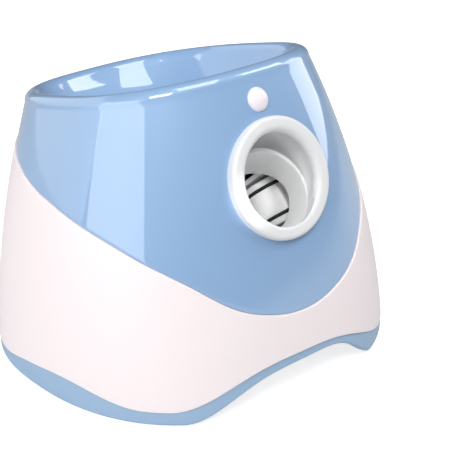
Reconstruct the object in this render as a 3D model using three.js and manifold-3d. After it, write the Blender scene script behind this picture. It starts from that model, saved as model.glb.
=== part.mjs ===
// Automatic dog ball launcher, in millimetres. +Z is up and the nozzle faces -Y.
// The origin is on the ground, under the middle of the object's box.
import * as THREE from "three";
import { mergeVertices } from "three/addons/utils/BufferGeometryUtils.js";
import Module from "manifold-3d";

const wasm = await Module();
wasm.setup();

const degree = Math.PI / 180;
const gap = 0.3;

// Body skin: a wide rounded base outline narrows upwards to a smaller rim that tilts to the back.
// An angle of 0 is the front and 90 degrees is the +X side.
const baseHalfWidth = 135.6;
const baseFront = 137;
const baseBack = 108.9;
const baseCentreY = 10.6;
const rimHalfWidth = 91.7;
const rimFront = 76.5;
const rimBack = 108.3;
const rimCentreY = 14.6;
const rimCentreZ = 181.3;
const rimTilt = 14.5 * degree;
const cornerPower = { baseFront: 0.85, baseBack: 0.877, rimFront: 0.817, rimBack: 0.8 };
const wallBend = 0.818;
const frontWallBend = 0.61;

// Casing walls.
const wall = 2.8;
const lipRadius = 7;
const lipShare = 0.07;
const whiteProud = 1;
const whiteInner = -1.4;
const tongueOuter = -1.7;
const tongueHeight = 4;
const bandInner = -5.5;
const bandLift = 0.6;
const bandEase = 2;
const bandTongueWall = 1.6;

// Seam between the blue upper casing and the white one: angle in degrees, height.
const seamKeys = [
  [0, 59], [10, 63.5], [20, 72], [35, 91.5], [50, 105.5],
  [65, 116.5], [90, 127.6], [120, 136.5], [180, 140],
];

// Base band: its top is low at the corners, and rises over the arches and at the sides.
const bandLow = 10.3;
const bandArchRise = 22.6;
const bandArchAngle = 39.6;
const bandSideRise = 9;
const bandSideAngle = 78;
const bandSideReach = 28;
const archHeight = 25.8;
const archReach = { left: 39, right: 26, rear: 33.8 };
const archPower = 1.43;
const bandArchMiddle = -3.7;

// Ball hopper.
const bowlWall = 2.4;
const throat = { y: 11.6, z: 126, radius: 29.5, collar: 5 };
const bowlBend = { inward: 0.28, down: 0.72 };
const funnelTurn = 157 * degree;

// Nozzle: centre of the flange and its upward tilt.
const nozzleY = -87.6;
const nozzleZ = 141.5;
const nozzleTilt = 22.7 * degree;
const flangeRadius = 39.6;
const flangeDepth = 6;
const flangeWall = 2.4;
const nozzleThroat = 31.2;
const nozzleLip = { radius: 29.4, height: 4, inside: 4.6, outside: 2.8, under: 2.2, slope: 6 };
const cup = { depth: 20.5, floor: 27, floorEdge: 28.6, hole: 18, wall: 2.5 };

// Launch barrel: middle of its mouth, its upward angle and its tube.
const mouthY = -79.7;
const mouthZ = 129.9;
const launchAngle = 42 * degree;
const boreRadius = 27.6;
const barrelRadius = 30.3;
const windowRadius = 24.6;
const windowBack = 43.6;
const elbowBack = 68;
const channel = { y: throat.y, z: 93 };

// Rollers: a pair of drums, one on each side of the barrel.
const rollerSide = 45;
const rollerBack = 50;
const drumRadius = 21.4;
const drumHalf = 16;
const drumEase = 0.8;
const ringAt = 10.7;
const ringTube = 1.1;
const ringRadius = 20.9;
const groove = { radius: 19.5, half: 1.3 };
const shaftRadius = 1.6;
const shaftInMotor = 9;
const bracketHalf = 21;
const bracketPlate = 2.5;
const bracketReach = 71;
const bracketInner = 22;
const bracketFront = 23;
const bracketRear = 77;
const leg = { front: -72, rear: -12, thick: 3, foot: 16, top: 104 };
const bushRadius = 4;
const motorRadius = 13;
const motorLength = 33;

// Feeder: a bladed wheel behind the ball channel, turned by a pair of spur gears.
const feeder = { y: 55, z: 94, radius: 27, halfWidth: 15, hub: 8, blade: 2 };
const bladeCount = 3;
const gearModule = 1.25;
const gearTeeth = 30;
const pinionTeeth = 15;
const gearStart = 20;
const gearWidth = 6;
const gearBacklash = 0.4;
const pressureAngle = 20 * degree;
const pinionDirection = -20 * degree;
const feedShaftRadius = 3;
const feedPlate = { left: 19, right: 29, thick: 3 };
const feedMotorRadius = 12;
const feedMotorLength = 30;
const feedMotorBore = 10;
const pinionShaft = 1.5;

// Base, feet and battery space.
const plateBottom = 27.3;
const plateTop = 30;
const plateRoom = 1.6;
const footSpots = [
  ["front_left", -80, -56],
  ["front_right", 80, -56],
  ["rear_left", -97, 58],
  ["rear_right", 97, 58],
];
const footRadius = 9;
const footHeight = 3.3;
const footEase = 1;
const postRadius = 11;
const cellRadius = 13.1;
const cellLength = 48.6;
const cellPitch = 50;
const cellRowsY = [53.3, 80.3];
const cellZ = 43.8;
const boxWall = 1.8;
const boxHalfWidth = 79;
const knob = { radius: 3, height: 1.6 };
const contactThick = 0.6;
const contactHalf = 8;
const door = { halfWidth: 78, front: 42, rear: 92, bottom: 24.7, thick: 2.3 };
const doorRail = { width: 2.4, lip: 3, thick: 2 };
const doorRest = { side: 4, end: 3 };
const doorRidge = { count: 3, halfWidth: 16, width: 2, pitch: 4, from: 6, proud: 1.2 };
const screwAngles = [
  ["front_left", -52],
  ["front_right", 52],
  ["rear_left", -128],
  ["rear_right", 128],
];
const screwInset = -14;
const screw = { head: 3.5, headHeight: 2.2, headEase: 1, shank: 1.4, length: 12 };
const boss = { radius: 4.5, height: 12, bore: 1.7, rib: 2.4 };

// Rear panel and sensor.
const panelZ = 88;
const panelHalfWidth = 29;
const panelHalfHeight = 13;
const panelThick = 5;
const panelProud = 0.8;
const buttonX = -14;
const buttonRadius = 7.8;
const buttonProud = 1.6;
const buttonDeep = 5;
const lightsX = [6, 13, 20];
const lightRadius = 1.8;
const lightProud = 1.7;
const lightDeep = 4;
const jackZ = 50;
const jackRadius = 5;
const sensorZ = 188.2;
const sensorRadius = 8.2;

// Circuit boards.
const boardThick = 1.6;
const mainBoardEdge = { halfWidth: 40, front: -92, rear: -46, lift: 4 };
// Chips and connectors on the main board: x from and to, y from and to, height.
const boardParts = [
  [-12, 4, -74, -60, 2.4],
  [16, 30, -86, -76, 5.4],
  [14, 32, -58, -50, 5.4],
];
const controlBoardDepth = 8.8;
const capacitor = { x: -26, y: -62, radius: 4, height: 9.4 };

const colour = {
  blue: 0xa1c2ea,
  blueBand: 0x9dbbdc,
  white: 0xf4edee,
  nozzle: 0xe9e9ea,
  barrel: 0xdcdcde,
  grey: 0xb4b6b9,
  black: 0x17181a,
  drum: 0xf0f0f0,
  steel: 0xb8bcc0,
  board: 0x2c6e49,
  gear: 0xe8e4d6,
  copper: 0xb98a4b,
  cell: 0x3c4248,
};

// Geometry helpers.
function plain(geometry) {
  const bare = geometry.clone();
  bare.deleteAttribute("normal");
  bare.deleteAttribute("uv");
  return mergeVertices(bare, 1e-4);
}

function outward(geometry) {
  const g = plain(geometry);
  const p = g.attributes.position;
  const order = g.index.array;
  const [a, b, c] = [new THREE.Vector3(), new THREE.Vector3(), new THREE.Vector3()];
  let volume = 0;
  for (let i = 0; i < order.length; i += 3) {
    a.fromBufferAttribute(p, order[i]);
    b.fromBufferAttribute(p, order[i + 1]);
    c.fromBufferAttribute(p, order[i + 2]);
    volume += a.dot(b.cross(c));
  }
  if (volume < 0) {
    for (let i = 0; i < order.length; i += 3) {
      [order[i + 1], order[i + 2]] = [order[i + 2], order[i + 1]];
    }
  }
  return g;
}

function solid(geometry) {
  const g = outward(geometry);
  return new wasm.Manifold(
    new wasm.Mesh({
      numProp: 3,
      vertProperties: new Float32Array(g.attributes.position.array),
      triVerts: new Uint32Array(g.index.array),
    }),
  );
}

function geometryOf(body) {
  const mesh = body.getMesh();
  const g = new THREE.BufferGeometry();
  g.setAttribute("position", new THREE.BufferAttribute(mesh.vertProperties, 3));
  g.setIndex(new THREE.BufferAttribute(mesh.triVerts, 1));
  return g;
}

function join(...geometries) {
  return geometryOf(geometries.map(solid).reduce((sum, next) => sum.add(next)));
}

function cut(geometry, ...cutters) {
  return geometryOf(cutters.map(solid).reduce((rest, next) => rest.subtract(next), solid(geometry)));
}

// A turned solid about Z. The points are [radius, height].
function turned(points, segments, closed = true) {
  const profile = points.map(([r, h]) => new THREE.Vector2(r, h));
  if (closed) profile.push(profile[0].clone());
  return new THREE.LatheGeometry(profile, segments).rotateX(Math.PI / 2);
}

function rod(from, to, radius, segments = 24) {
  const axis = new THREE.Vector3().subVectors(to, from);
  const turn = new THREE.Quaternion().setFromUnitVectors(
    new THREE.Vector3(0, 1, 0),
    axis.clone().normalize(),
  );
  const middle = new THREE.Vector3().addVectors(from, to).multiplyScalar(0.5);
  const g = new THREE.CylinderGeometry(radius, radius, axis.length(), segments);
  return g.applyQuaternion(turn).translate(middle.x, middle.y, middle.z);
}

const at = (x, y, z) => new THREE.Vector3(x, y, z);

function block(x0, x1, y0, y1, z0, z1) {
  const g = new THREE.BoxGeometry(x1 - x0, y1 - y0, z1 - z0);
  return g.translate((x0 + x1) / 2, (y0 + y1) / 2, (z0 + z1) / 2);
}

function outline(points) {
  return new THREE.Shape(points.map(([x, y]) => new THREE.Vector2(x, y)));
}

function slab(shape, depth) {
  return new THREE.ExtrudeGeometry(shape, { depth, bevelEnabled: false, curveSegments: 6 });
}

// Turns a slab drawn in (y, z) so that its thickness runs along +X.
function acrossX(geometry) {
  return geometry.applyMatrix4(new THREE.Matrix4().makeBasis(at(0, 1, 0), at(0, 0, 1), at(1, 0, 0)));
}

const shares = (count) => Array.from({ length: count + 1 }, (_, k) => k / count);
const between = (a, b, share) => a + (b - a) * share;

// Body skin.
function corner(angle, power) {
  const bow = (v) => Math.sign(v) * Math.abs(v) ** power;
  return [bow(Math.sin(angle)), bow(Math.cos(angle))];
}

function baseEdge(angle) {
  const front = Math.cos(angle) > 0;
  const [side, ahead] = corner(angle, front ? cornerPower.baseFront : cornerPower.baseBack);
  return at(baseHalfWidth * side, baseCentreY - (front ? baseFront : baseBack) * ahead, 0);
}

function rimEdge(angle) {
  const front = Math.cos(angle) > 0;
  const [side, ahead] = corner(angle, front ? cornerPower.rimFront : cornerPower.rimBack);
  const reach = (front ? rimFront : rimBack) * ahead;
  return at(
    rimHalfWidth * side,
    rimCentreY - reach * Math.cos(rimTilt),
    rimCentreZ + reach * Math.sin(rimTilt),
  );
}

function skinShare(angle, share) {
  const base = baseEdge(angle);
  const rim = rimEdge(angle);
  const bend = wallBend + (frontWallBend - wallBend) * Math.max(Math.cos(angle), 0) ** 2;
  const inward = (1 - bend) * share + bend * share ** 2;
  return at(
    THREE.MathUtils.lerp(base.x, rim.x, inward),
    THREE.MathUtils.lerp(base.y, rim.y, inward),
    rim.z * share,
  );
}

// A point of the skin at a height, moved out by an offset, or in by a negative one.
function skin(angle, height, offset = 0) {
  const share = height / rimEdge(angle).z;
  const step = 0.01;
  const along = skinShare(angle + step, share).sub(skinShare(angle - step, share));
  const out = at(along.y, -along.x, 0).normalize();
  return skinShare(angle, share).addScaledVector(out, offset);
}

const rimUp = at(0, Math.sin(rimTilt), Math.cos(rimTilt));

function lipOut(angle) {
  const step = 0.01;
  return rimEdge(angle + step).sub(rimEdge(angle - step)).cross(rimUp).normalize();
}

// A point of the rolled lip: turn 0 is its outermost line and 90 degrees its top.
function lip(angle, turn, radius) {
  return rimEdge(angle)
    .addScaledVector(lipOut(angle), radius * Math.cos(turn) - lipRadius)
    .addScaledVector(rimUp, radius * Math.sin(turn));
}

// The funnel's line at an angle, from the lip to the throat. It leaves the lip without a corner.
function funnelLine(angle) {
  const [side, ahead] = [Math.sin(angle), Math.cos(angle)];
  const foot = at(throat.radius * side, throat.y - throat.radius * ahead, throat.z);
  const out = lipOut(angle);
  let turn = funnelTurn;
  let curve = null;
  for (let round = 0; round < 3; round += 1) {
    const top = lip(angle, turn, lipRadius);
    const knee = at(
      between(top.x, foot.x, bowlBend.inward),
      between(top.y, foot.y, bowlBend.inward),
      between(top.z, foot.z, bowlBend.down),
    );
    curve = new THREE.QuadraticBezierCurve3(top, knee, foot);
    const down = knee.clone().sub(top);
    turn = Math.atan2(-down.dot(out), down.dot(rimUp));
  }
  const start = lipShare + gap / (2 * curve.v0.distanceTo(curve.v1));
  return { turn, curve, foot, start };
}

// A point under the funnel's line, where a wall of this thickness ends.
function underFunnel(curve, share, thick) {
  const down = curve.getTangent(share);
  const level = Math.hypot(down.x, down.y);
  const out = at(-down.x, -down.y, 0).divideScalar(level);
  return curve.getPoint(share).addScaledVector(out, -thick * down.z).add(at(0, 0, -thick * level));
}

// A smooth curve through [angle in degrees, height] keys, the same on both sides of the front.
function throughKeys(keys, angle) {
  const aside = Math.abs(((((angle / degree + 180) % 360) + 360) % 360) - 180);
  const last = keys.length - 1;
  const i = Math.min(keys.findIndex(([a], k) => k === last || aside <= keys[k + 1][0]), last - 1);
  const [a0, h0] = keys[i];
  const [a1, h1] = keys[i + 1];
  const slope = (k) => {
    if (k === 0 || k === last) return 0;
    return (keys[k + 1][1] - keys[k - 1][1]) / (keys[k + 1][0] - keys[k - 1][0]);
  };
  const u = (aside - a0) / (a1 - a0);
  const span = a1 - a0;
  return (
    (2 * u ** 3 - 3 * u ** 2 + 1) * h0 +
    (u ** 3 - 2 * u ** 2 + u) * span * slope(i) +
    (3 * u ** 2 - 2 * u ** 3) * h1 +
    (u ** 3 - u ** 2) * span * slope(i + 1)
  );
}

const seamHeight = (angle) => throughKeys(seamKeys, angle);

// 1 at the middle of an arch, and 0 from its end on.
function archShape(fromMiddle, reach, power) {
  const u = Math.min(fromMiddle / reach, 1) ** power;
  return 0.5 + 0.5 * Math.cos(Math.PI * u);
}

// Degrees between an angle and another one.
function apart(angle, middle) {
  return Math.acos(THREE.MathUtils.clamp(Math.cos(angle - middle), -1, 1)) / degree;
}

function bandTop(angle) {
  const side = Math.min(Math.abs(apart(angle, 0) - bandSideAngle) / bandSideReach, 1);
  const fromArch = Math.min(apart(angle, bandArchMiddle * degree), apart(angle, Math.PI));
  return (
    bandLow +
    bandArchRise * archShape(fromArch, bandArchAngle, 1.2) +
    bandSideRise * Math.cos((side * Math.PI) / 2) ** 2
  );
}

// The front arch reaches further to the left than to the right.
function bandBottom(angle) {
  const frontReach = Math.sin(angle) < 0 ? archReach.left : archReach.right;
  const front = archShape(apart(angle, 0), frontReach, archPower);
  const rear = archShape(apart(angle, Math.PI), archReach.rear, archPower);
  return bandLift + archHeight * (front + rear);
}

const bodySteps = 44;
const tubeSteps = 24;

// A closed profile carried once round the body.
function ringOf(profileAt, steps) {
  const rows = Array.from({ length: steps }, (_, i) => profileAt((2 * Math.PI * i) / steps));
  const width = rows[0].length;
  const order = [];
  for (let i = 0; i < steps; i += 1) {
    const next = (i + 1) % steps;
    for (let j = 0; j < width; j += 1) {
      const k = (j + 1) % width;
      order.push(i * width + j, next * width + j, next * width + k);
      order.push(i * width + j, next * width + k, i * width + k);
    }
  }
  const g = new THREE.BufferGeometry().setFromPoints(rows.flat());
  g.setIndex(order);
  return g;
}

function upperShellProfile(angle) {
  const seam = seamHeight(angle) + gap;
  const top = rimEdge(angle).z;
  const outer = shares(5).map((s) => skin(angle, between(seam, top, s)));
  const { turn, curve } = funnelLine(angle);
  const roll = shares(7).slice(1).map((s) => lip(angle, turn * s, lipRadius));
  const flange = [curve.getPoint(lipShare), underFunnel(curve, lipShare, wall)];
  const rollInside = shares(2).map((s) => lip(angle, turn * (1 - s), lipRadius - wall));
  const inner = shares(3).slice(1).map((s) => skin(angle, between(top, seam, s), -wall));
  const tongue = [
    skin(angle, seam - tongueHeight, -wall),
    skin(angle, seam - tongueHeight, tongueOuter),
    skin(angle, seam, tongueOuter),
  ];
  return [...outer, ...roll, ...flange, ...rollInside, ...inner, ...tongue];
}

function lowerShellProfile(angle) {
  const low = bandTop(angle) + gap;
  const high = seamHeight(angle) - gap;
  const outer = shares(3).map((s) => skin(angle, between(low, high, s), whiteProud));
  const inner = shares(2).map((s) => skin(angle, between(high, low, s), whiteInner));
  return [...outer, ...inner];
}

function baseBandProfile(angle) {
  const low = bandBottom(angle);
  const high = bandTop(angle);
  return [
    skin(angle, low, -bandEase),
    skin(angle, low + bandEase, 0),
    skin(angle, high, 0),
    skin(angle, high, tongueOuter),
    skin(angle, high + tongueHeight, tongueOuter),
    skin(angle, high + tongueHeight, tongueOuter - bandTongueWall),
    skin(angle, high - 1, bandInner),
    skin(angle, low, bandInner),
  ];
}

function bowlProfile(angle) {
  const { curve, foot, start } = funnelLine(angle);
  const inner = shares(5).map((s) => curve.getPoint(between(start, 1, s)));
  const outer = shares(5).map((s) => underFunnel(curve, between(start, 1, s), bowlWall));
  const collar = foot.z - throat.collar;
  const reach = throat.radius + bowlWall;
  return [
    ...inner,
    at(foot.x, foot.y, collar),
    at(reach * Math.sin(angle), throat.y - reach * Math.cos(angle), collar),
    ...outer.slice(0, -1).reverse(),
  ];
}

// Frames of the turned groups.
function placed(group) {
  group.updateMatrixWorld(true);
  return group;
}

const nozzleFrame = placed(new THREE.Group());
nozzleFrame.position.set(0, nozzleY, nozzleZ);
nozzleFrame.rotation.x = Math.PI / 2 - nozzleTilt;

// In this frame +Y runs back down the barrel from its mouth, and +Z is square to it.
const launchFrame = placed(new THREE.Group());
launchFrame.position.set(0, mouthY, mouthZ);
launchFrame.rotation.x = -launchAngle;

const inFrame = (geometry, frame) => geometry.applyMatrix4(placed(frame).matrixWorld);
const outOfFrame = (geometry, frame) =>
  geometry.applyMatrix4(placed(frame).matrixWorld.clone().invert());

const barrelRod = (from, to, radius) => rod(at(0, from, 0), at(0, to, 0), radius, tubeSteps);

// Casing.
function upperShell() {
  const nozzleHole = inFrame(rod(at(0, 0, -20), at(0, 0, 20), flangeRadius + gap, 32), nozzleFrame);
  const barrelRoom = inFrame(barrelRod(-2, 40, barrelRadius + gap), launchFrame);
  const sensorHole = inFrame(rod(at(0, 0, -12), at(0, 0, 12), sensorRadius + gap, 20), sensorFrame);
  return cut(ringOf(upperShellProfile, bodySteps), nozzleHole, barrelRoom, sensorHole);
}

function screwSpot(angleInDegrees) {
  return skin(angleInDegrees * degree, plateTop, screwInset);
}

// A rib from a screw boss to the wall, which leans inwards as it rises.
function bossRib(angle, spot) {
  const core = (whiteProud + whiteInner) / 2;
  const [low, high] = [plateTop + gap, plateTop + boss.height];
  const [foot, head] = [low, high].map((height) => skin(angle, height, core));
  const reach = (end) => Math.hypot(end.x - spot.x, end.y - spot.y);
  const shape = outline([[0, low], [reach(foot), low], [reach(head), high], [0, high]]);
  const rib = slab(shape, boss.rib).translate(0, 0, -boss.rib / 2).rotateX(Math.PI / 2);
  return rib.rotateZ(Math.atan2(head.y - spot.y, head.x - spot.x)).translate(spot.x, spot.y, 0);
}

function lowerShell() {
  const bosses = [];
  const holes = [];
  for (const [, angle] of screwAngles) {
    const spot = screwSpot(angle);
    const upright = (low, high, r) => rod(at(spot.x, spot.y, low), at(spot.x, spot.y, high), r, 12);
    bosses.push(upright(plateTop + gap, plateTop + boss.height, boss.radius));
    bosses.push(bossRib(angle * degree, spot));
    holes.push(upright(plateTop - 1, plateTop + boss.height - 1, boss.bore));
  }
  const rear = skin(Math.PI, panelZ).y;
  const panelHole = slab(stadium(panelHalfWidth + gap, panelHalfHeight + gap), 30);
  panelHole.rotateX(-Math.PI / 2).translate(0, rear - 20, panelZ);
  const jackHole = rod(at(0, rear - 20, jackZ), at(0, rear + 10, jackZ), jackRadius + gap, 16);
  return cut(join(ringOf(lowerShellProfile, bodySteps), ...bosses), ...holes, panelHole, jackHole);
}

function stadium(halfWidth, halfHeight) {
  const shape = new THREE.Shape();
  const straight = halfWidth - halfHeight;
  shape.moveTo(-straight, -halfHeight);
  shape.lineTo(straight, -halfHeight);
  shape.absarc(straight, 0, halfHeight, -Math.PI / 2, Math.PI / 2, false);
  shape.lineTo(-straight, halfHeight);
  shape.absarc(-straight, 0, halfHeight, Math.PI / 2, Math.PI * 1.5, false);
  return shape;
}

// The plate reaches to the casing wall, and draws in where the base band rises past it.
function plateEdge(angle) {
  const step = (2 * Math.PI) / bodySteps;
  const tongueTops = [-1, 0, 1].map((k) => bandTop(angle + k * step) + tongueHeight);
  const besideBand = Math.max(...tongueTops) > plateBottom - gap;
  const spot = skin(angle, plateTop, besideBand ? bandInner - 2 * gap : whiteInner - plateRoom);
  return [spot.x, spot.y];
}

function basePlate() {
  const edge = Array.from({ length: bodySteps }, (_, i) => plateEdge((2 * Math.PI * i) / bodySteps));
  const plate = slab(outline(edge), plateTop - plateBottom).translate(0, 0, plateBottom);
  const posts = footSpots.map(([, x, y]) =>
    rod(at(x, y, footHeight + gap), at(x, y, plateTop - 1), postRadius, 16),
  );
  const lipTop = door.bottom - gap;
  const lipBottom = lipTop - doorRail.thick;
  const rails = [-1, 1].flatMap((side) => {
    const inner = door.halfWidth + gap;
    const across = (from, to) => [side * from, side * to].sort((a, b) => a - b);
    const [rail0, rail1] = across(inner, inner + doorRail.width);
    const [lip0, lip1] = across(inner - doorRail.lip, inner + doorRail.width);
    return [
      block(rail0, rail1, door.front, door.rear, lipBottom, plateTop - 1),
      block(lip0, lip1, door.front, door.rear, lipBottom, lipTop),
    ];
  });
  const openingHalf = door.halfWidth - doorRest.side;
  const [front, rear] = [door.front + doorRest.end, door.rear - doorRest.end];
  const opening = block(-openingHalf, openingHalf, front, rear, plateBottom - 1, plateTop + 1);
  const screwHoles = screwAngles.map(([, angle]) => {
    const spot = screwSpot(angle);
    return rod(at(spot.x, spot.y, plateBottom - 1), at(spot.x, spot.y, plateTop + 1), boss.bore + gap, 10);
  });
  return cut(join(plate, ...posts, ...rails), opening, ...screwHoles);
}

function footPad() {
  const points = [[0, 0], [footRadius - footEase, 0], [footRadius, footEase], [footRadius, footHeight]];
  return turned([...points, [0, footHeight]], 14, false);
}

function baseScrew() {
  const high = plateBottom - gap;
  const low = high - screw.headHeight;
  const tip = high + screw.length;
  const [face, edge] = [screw.head - screw.headEase, low + screw.headEase];
  const head = [[0, low], [face, low], [screw.head, edge], [screw.head, high]];
  return turned([...head, [screw.shank, high], [screw.shank, tip - 1], [0, tip]], 10, false);
}

// Nozzle and barrel. The lip is flat with rounded edges, and reaches inwards past the cup's wall.
function nozzleRing() {
  const { radius, height, inside, outside, under, slope } = nozzleLip;
  const quarter = (steps) => shares(steps).map((s) => (s * Math.PI) / 2);
  const innerEdge = quarter(4).map((turn) => [
    radius + inside * (1 - Math.cos(turn)),
    height - inside * (1 - Math.sin(turn)),
  ]);
  const outerEdge = quarter(3).map((turn) => [
    flangeRadius - outside * (1 - Math.sin(turn)),
    height - outside * (1 - Math.cos(turn)),
  ]);
  const roll = [[nozzleThroat, -slope], [radius, -under], ...innerEdge, ...outerEdge];
  const skirt = flangeRadius - flangeWall;
  const cupOuter = nozzleThroat + cup.wall;
  const rest = [
    [flangeRadius, -flangeDepth], [skirt, -flangeDepth], [skirt, -1.5], [cupOuter, -cup.wall],
    [cupOuter, -cup.depth], [cup.floorEdge + 1.5, -cup.floor], [cup.hole, -cup.floor - cup.wall],
    [cup.hole, -cup.floor], [cup.floorEdge, 2 - cup.floor], [nozzleThroat, -cup.depth],
  ];
  const room = outOfFrame(inFrame(barrelRod(-gap, 60, barrelRadius + gap), launchFrame), nozzleFrame);
  const bore = outOfFrame(inFrame(barrelRod(-40, 1, boreRadius), launchFrame), nozzleFrame);
  return cut(turned([...roll, ...rest], 28), room, bore);
}

const back = at(0, Math.cos(launchAngle), -Math.sin(launchAngle));
const elbow = at(0, mouthY, mouthZ).addScaledVector(back, elbowBack);
const channelEnd = at(0, channel.y, channel.z);
const throatEnd = at(0, throat.y, throat.z - throat.collar - gap);

// The ball's way from the hopper's throat to the mouth, as a solid of one radius.
function ballPath(radius, past) {
  const ball = new THREE.SphereGeometry(radius, tubeSteps, tubeSteps / 2);
  const sphere = (centre) => ball.clone().translate(centre.x, centre.y, centre.z);
  const mouth = at(0, mouthY, mouthZ).addScaledVector(back, -past);
  const top = throatEnd.clone().add(at(0, 0, past));
  return join(
    rod(mouth, elbow, radius, tubeSteps),
    sphere(elbow),
    rod(elbow, channelEnd, radius, tubeSteps),
    sphere(channelEnd),
    rod(channelEnd, top, radius, tubeSteps),
  );
}

function barrel() {
  const side = 2 * barrelRadius;
  const windows = rod(at(-side, windowBack, 0), at(side, windowBack, 0), windowRadius, tubeSteps);
  const reach = feeder.halfWidth + 2;
  const bladeRoom = rod(
    at(-reach, feeder.y, feeder.z),
    at(reach, feeder.y, feeder.z),
    feeder.radius + 1.5,
    tubeSteps,
  );
  const shell = cut(ballPath(barrelRadius, 0), ballPath(boreRadius, barrelRadius));
  return cut(shell, inFrame(windows, launchFrame), bladeRoom);
}

const wholeBarrel = barrel();

function barrelHalf(side) {
  const [from, to] = side > 0 ? [-2 * barrelRadius, gap / 2] : [-gap / 2, 2 * barrelRadius];
  return cut(wholeBarrel, block(from, to, mouthY - barrelRadius, feeder.y, 0, mouthZ + barrelRadius));
}

// Roller units, in the launch frame.
function drum() {
  const hole = shaftRadius + gap;
  const points = [[hole, -drumHalf], [drumRadius - drumEase, -drumHalf], [drumRadius, drumEase - drumHalf]];
  for (const middle of [-ringAt, ringAt]) {
    points.push([drumRadius, middle - groove.half], [groove.radius, middle - groove.half]);
    points.push([groove.radius, middle + groove.half], [drumRadius, middle + groove.half]);
  }
  points.push([drumRadius, drumHalf - drumEase], [drumRadius - drumEase, drumHalf], [hole, drumHalf]);
  return turned(points, 20);
}

function gripRing() {
  const section = Array.from({ length: 5 }, (_, i) => [
    ringRadius + ringTube * Math.cos(i * 72 * degree),
    ringTube * Math.sin(i * 72 * degree),
  ]);
  return turned(section, 20);
}

function rollerShaft() {
  return rod(at(0, 0, -bracketHalf - shaftInMotor), at(0, 0, bracketHalf - gap), shaftRadius, 12);
}

function rollerBush() {
  const hole = shaftRadius + gap;
  const [low, high] = [bracketHalf - bracketPlate, bracketHalf];
  return turned([[hole, low], [bushRadius, low], [bushRadius, high], [hole, high]], 16);
}

function rollerMotor() {
  const hole = shaftRadius + gap;
  const face = -bracketHalf - gap;
  const nose = face + bracketPlate;
  const bottom = face - shaftInMotor - 2;
  const end = face - motorLength;
  const points = [
    [0, bottom], [hole, bottom], [hole, nose], [bushRadius, nose], [bushRadius, face],
    [motorRadius, face], [motorRadius, end + 2], [motorRadius - 2, end], [0, end],
  ];
  return turned(points, 18, false);
}

function rollerBracket(side) {
  const [web, plate] = [bracketReach - bracketPlate, bracketHalf - bracketPlate];
  const profile = [
    [bracketInner, bracketHalf], [bracketReach, bracketHalf],
    [bracketReach, -bracketHalf], [bracketInner, -bracketHalf],
    [bracketInner, -plate], [web, -plate], [web, plate], [bracketInner, plate],
  ].map(([x, z]) => [side * x, z]);
  const bar = slab(outline(profile), bracketRear - bracketFront);
  bar.rotateX(Math.PI / 2).translate(0, bracketRear, 0);
  const tube = outOfFrame(ballPath(barrelRadius + gap, 0), launchFrame);
  const x = side * rollerSide;
  const pivot = rod(
    at(x, rollerBack, -2 * bracketHalf),
    at(x, rollerBack, 2 * bracketHalf),
    bushRadius + gap,
    16,
  );
  return cut(bar, tube, pivot);
}

const mirrored = (geometry) => outward(geometry.applyMatrix4(new THREE.Matrix4().makeScale(-1, 1, 1)));

// A leg from the bracket's outer face down to the base plate.
function bracketLeg(side) {
  const near = bracketReach + gap;
  const foot = plateTop + gap;
  const middle = (leg.front + leg.rear) / 2;
  const shape = outline([
    [leg.front, foot], [leg.rear, foot], [middle + 12, leg.top - 12], [middle - 6, leg.top],
  ]);
  const plate = acrossX(slab(shape, leg.thick)).translate(near, 0, 0);
  const flange = block(near, near + leg.foot, leg.front, leg.rear, foot, foot + leg.thick);
  const whole = join(plate, flange);
  return side > 0 ? whole : mirrored(whole);
}

// Feeder.
function feedRotor() {
  const { radius, hub, blade, halfWidth } = feeder;
  const points = [];
  for (let k = 0; k < bladeCount; k += 1) {
    const middle = (2 * Math.PI * k) / bladeCount;
    const root = Math.asin(blade / hub);
    const place = (r, turn) => [r * Math.cos(middle + turn), r * Math.sin(middle + turn)];
    const side = (r, s) => {
      const [c, n] = [Math.cos(middle), Math.sin(middle)];
      return [r * c - s * n, r * n + s * c];
    };
    points.push(place(hub, -root), side(radius - blade, -blade));
    points.push(side(radius, 0), side(radius - blade, blade), place(hub, root));
    points.push(place(hub, Math.PI / bladeCount));
  }
  const star = outline(points);
  star.holes.push(new THREE.Path().absarc(0, 0, feedShaftRadius + gap, 0, 2 * Math.PI, true));
  return acrossX(slab(star, 2 * halfWidth)).translate(-halfWidth, 0, 0);
}

// A spur gear outline with involute flanks. The first tooth points along the start angle.
function spurGear(teeth, start, boreRadiusOfGear) {
  const pitch = (gearModule * teeth) / 2;
  const base = pitch * Math.cos(pressureAngle);
  const [tip, root] = [pitch + gearModule, pitch - 1.25 * gearModule];
  const involute = (r) => {
    const a = Math.acos(Math.min(base / r, 1));
    return Math.tan(a) - a;
  };
  const halfAtPitch = ((Math.PI * gearModule) / 2 - gearBacklash) / 2 / pitch;
  const half = (r) => halfAtPitch + involute(pitch) - involute(Math.max(r, base));
  const radii = [root, pitch, tip];
  const points = [];
  for (let k = 0; k < teeth; k += 1) {
    const middle = start + (2 * Math.PI * k) / teeth;
    const spot = (r, s) => [r * Math.cos(middle + s * half(r)), r * Math.sin(middle + s * half(r))];
    points.push(...radii.map((r) => spot(r, -1)), ...radii.toReversed().map((r) => spot(r, 1)));
  }
  const shape = outline(points);
  if (boreRadiusOfGear) {
    shape.holes.push(new THREE.Path().absarc(0, 0, boreRadiusOfGear, 0, 2 * Math.PI, true));
  }
  return acrossX(slab(shape, gearWidth)).translate(gearStart, 0, 0);
}

const gearDistance = (gearModule * (gearTeeth + pinionTeeth)) / 2;
const pinionY = feeder.y + gearDistance * Math.cos(pinionDirection);
const pinionZ = feeder.z + gearDistance * Math.sin(pinionDirection);

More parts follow.
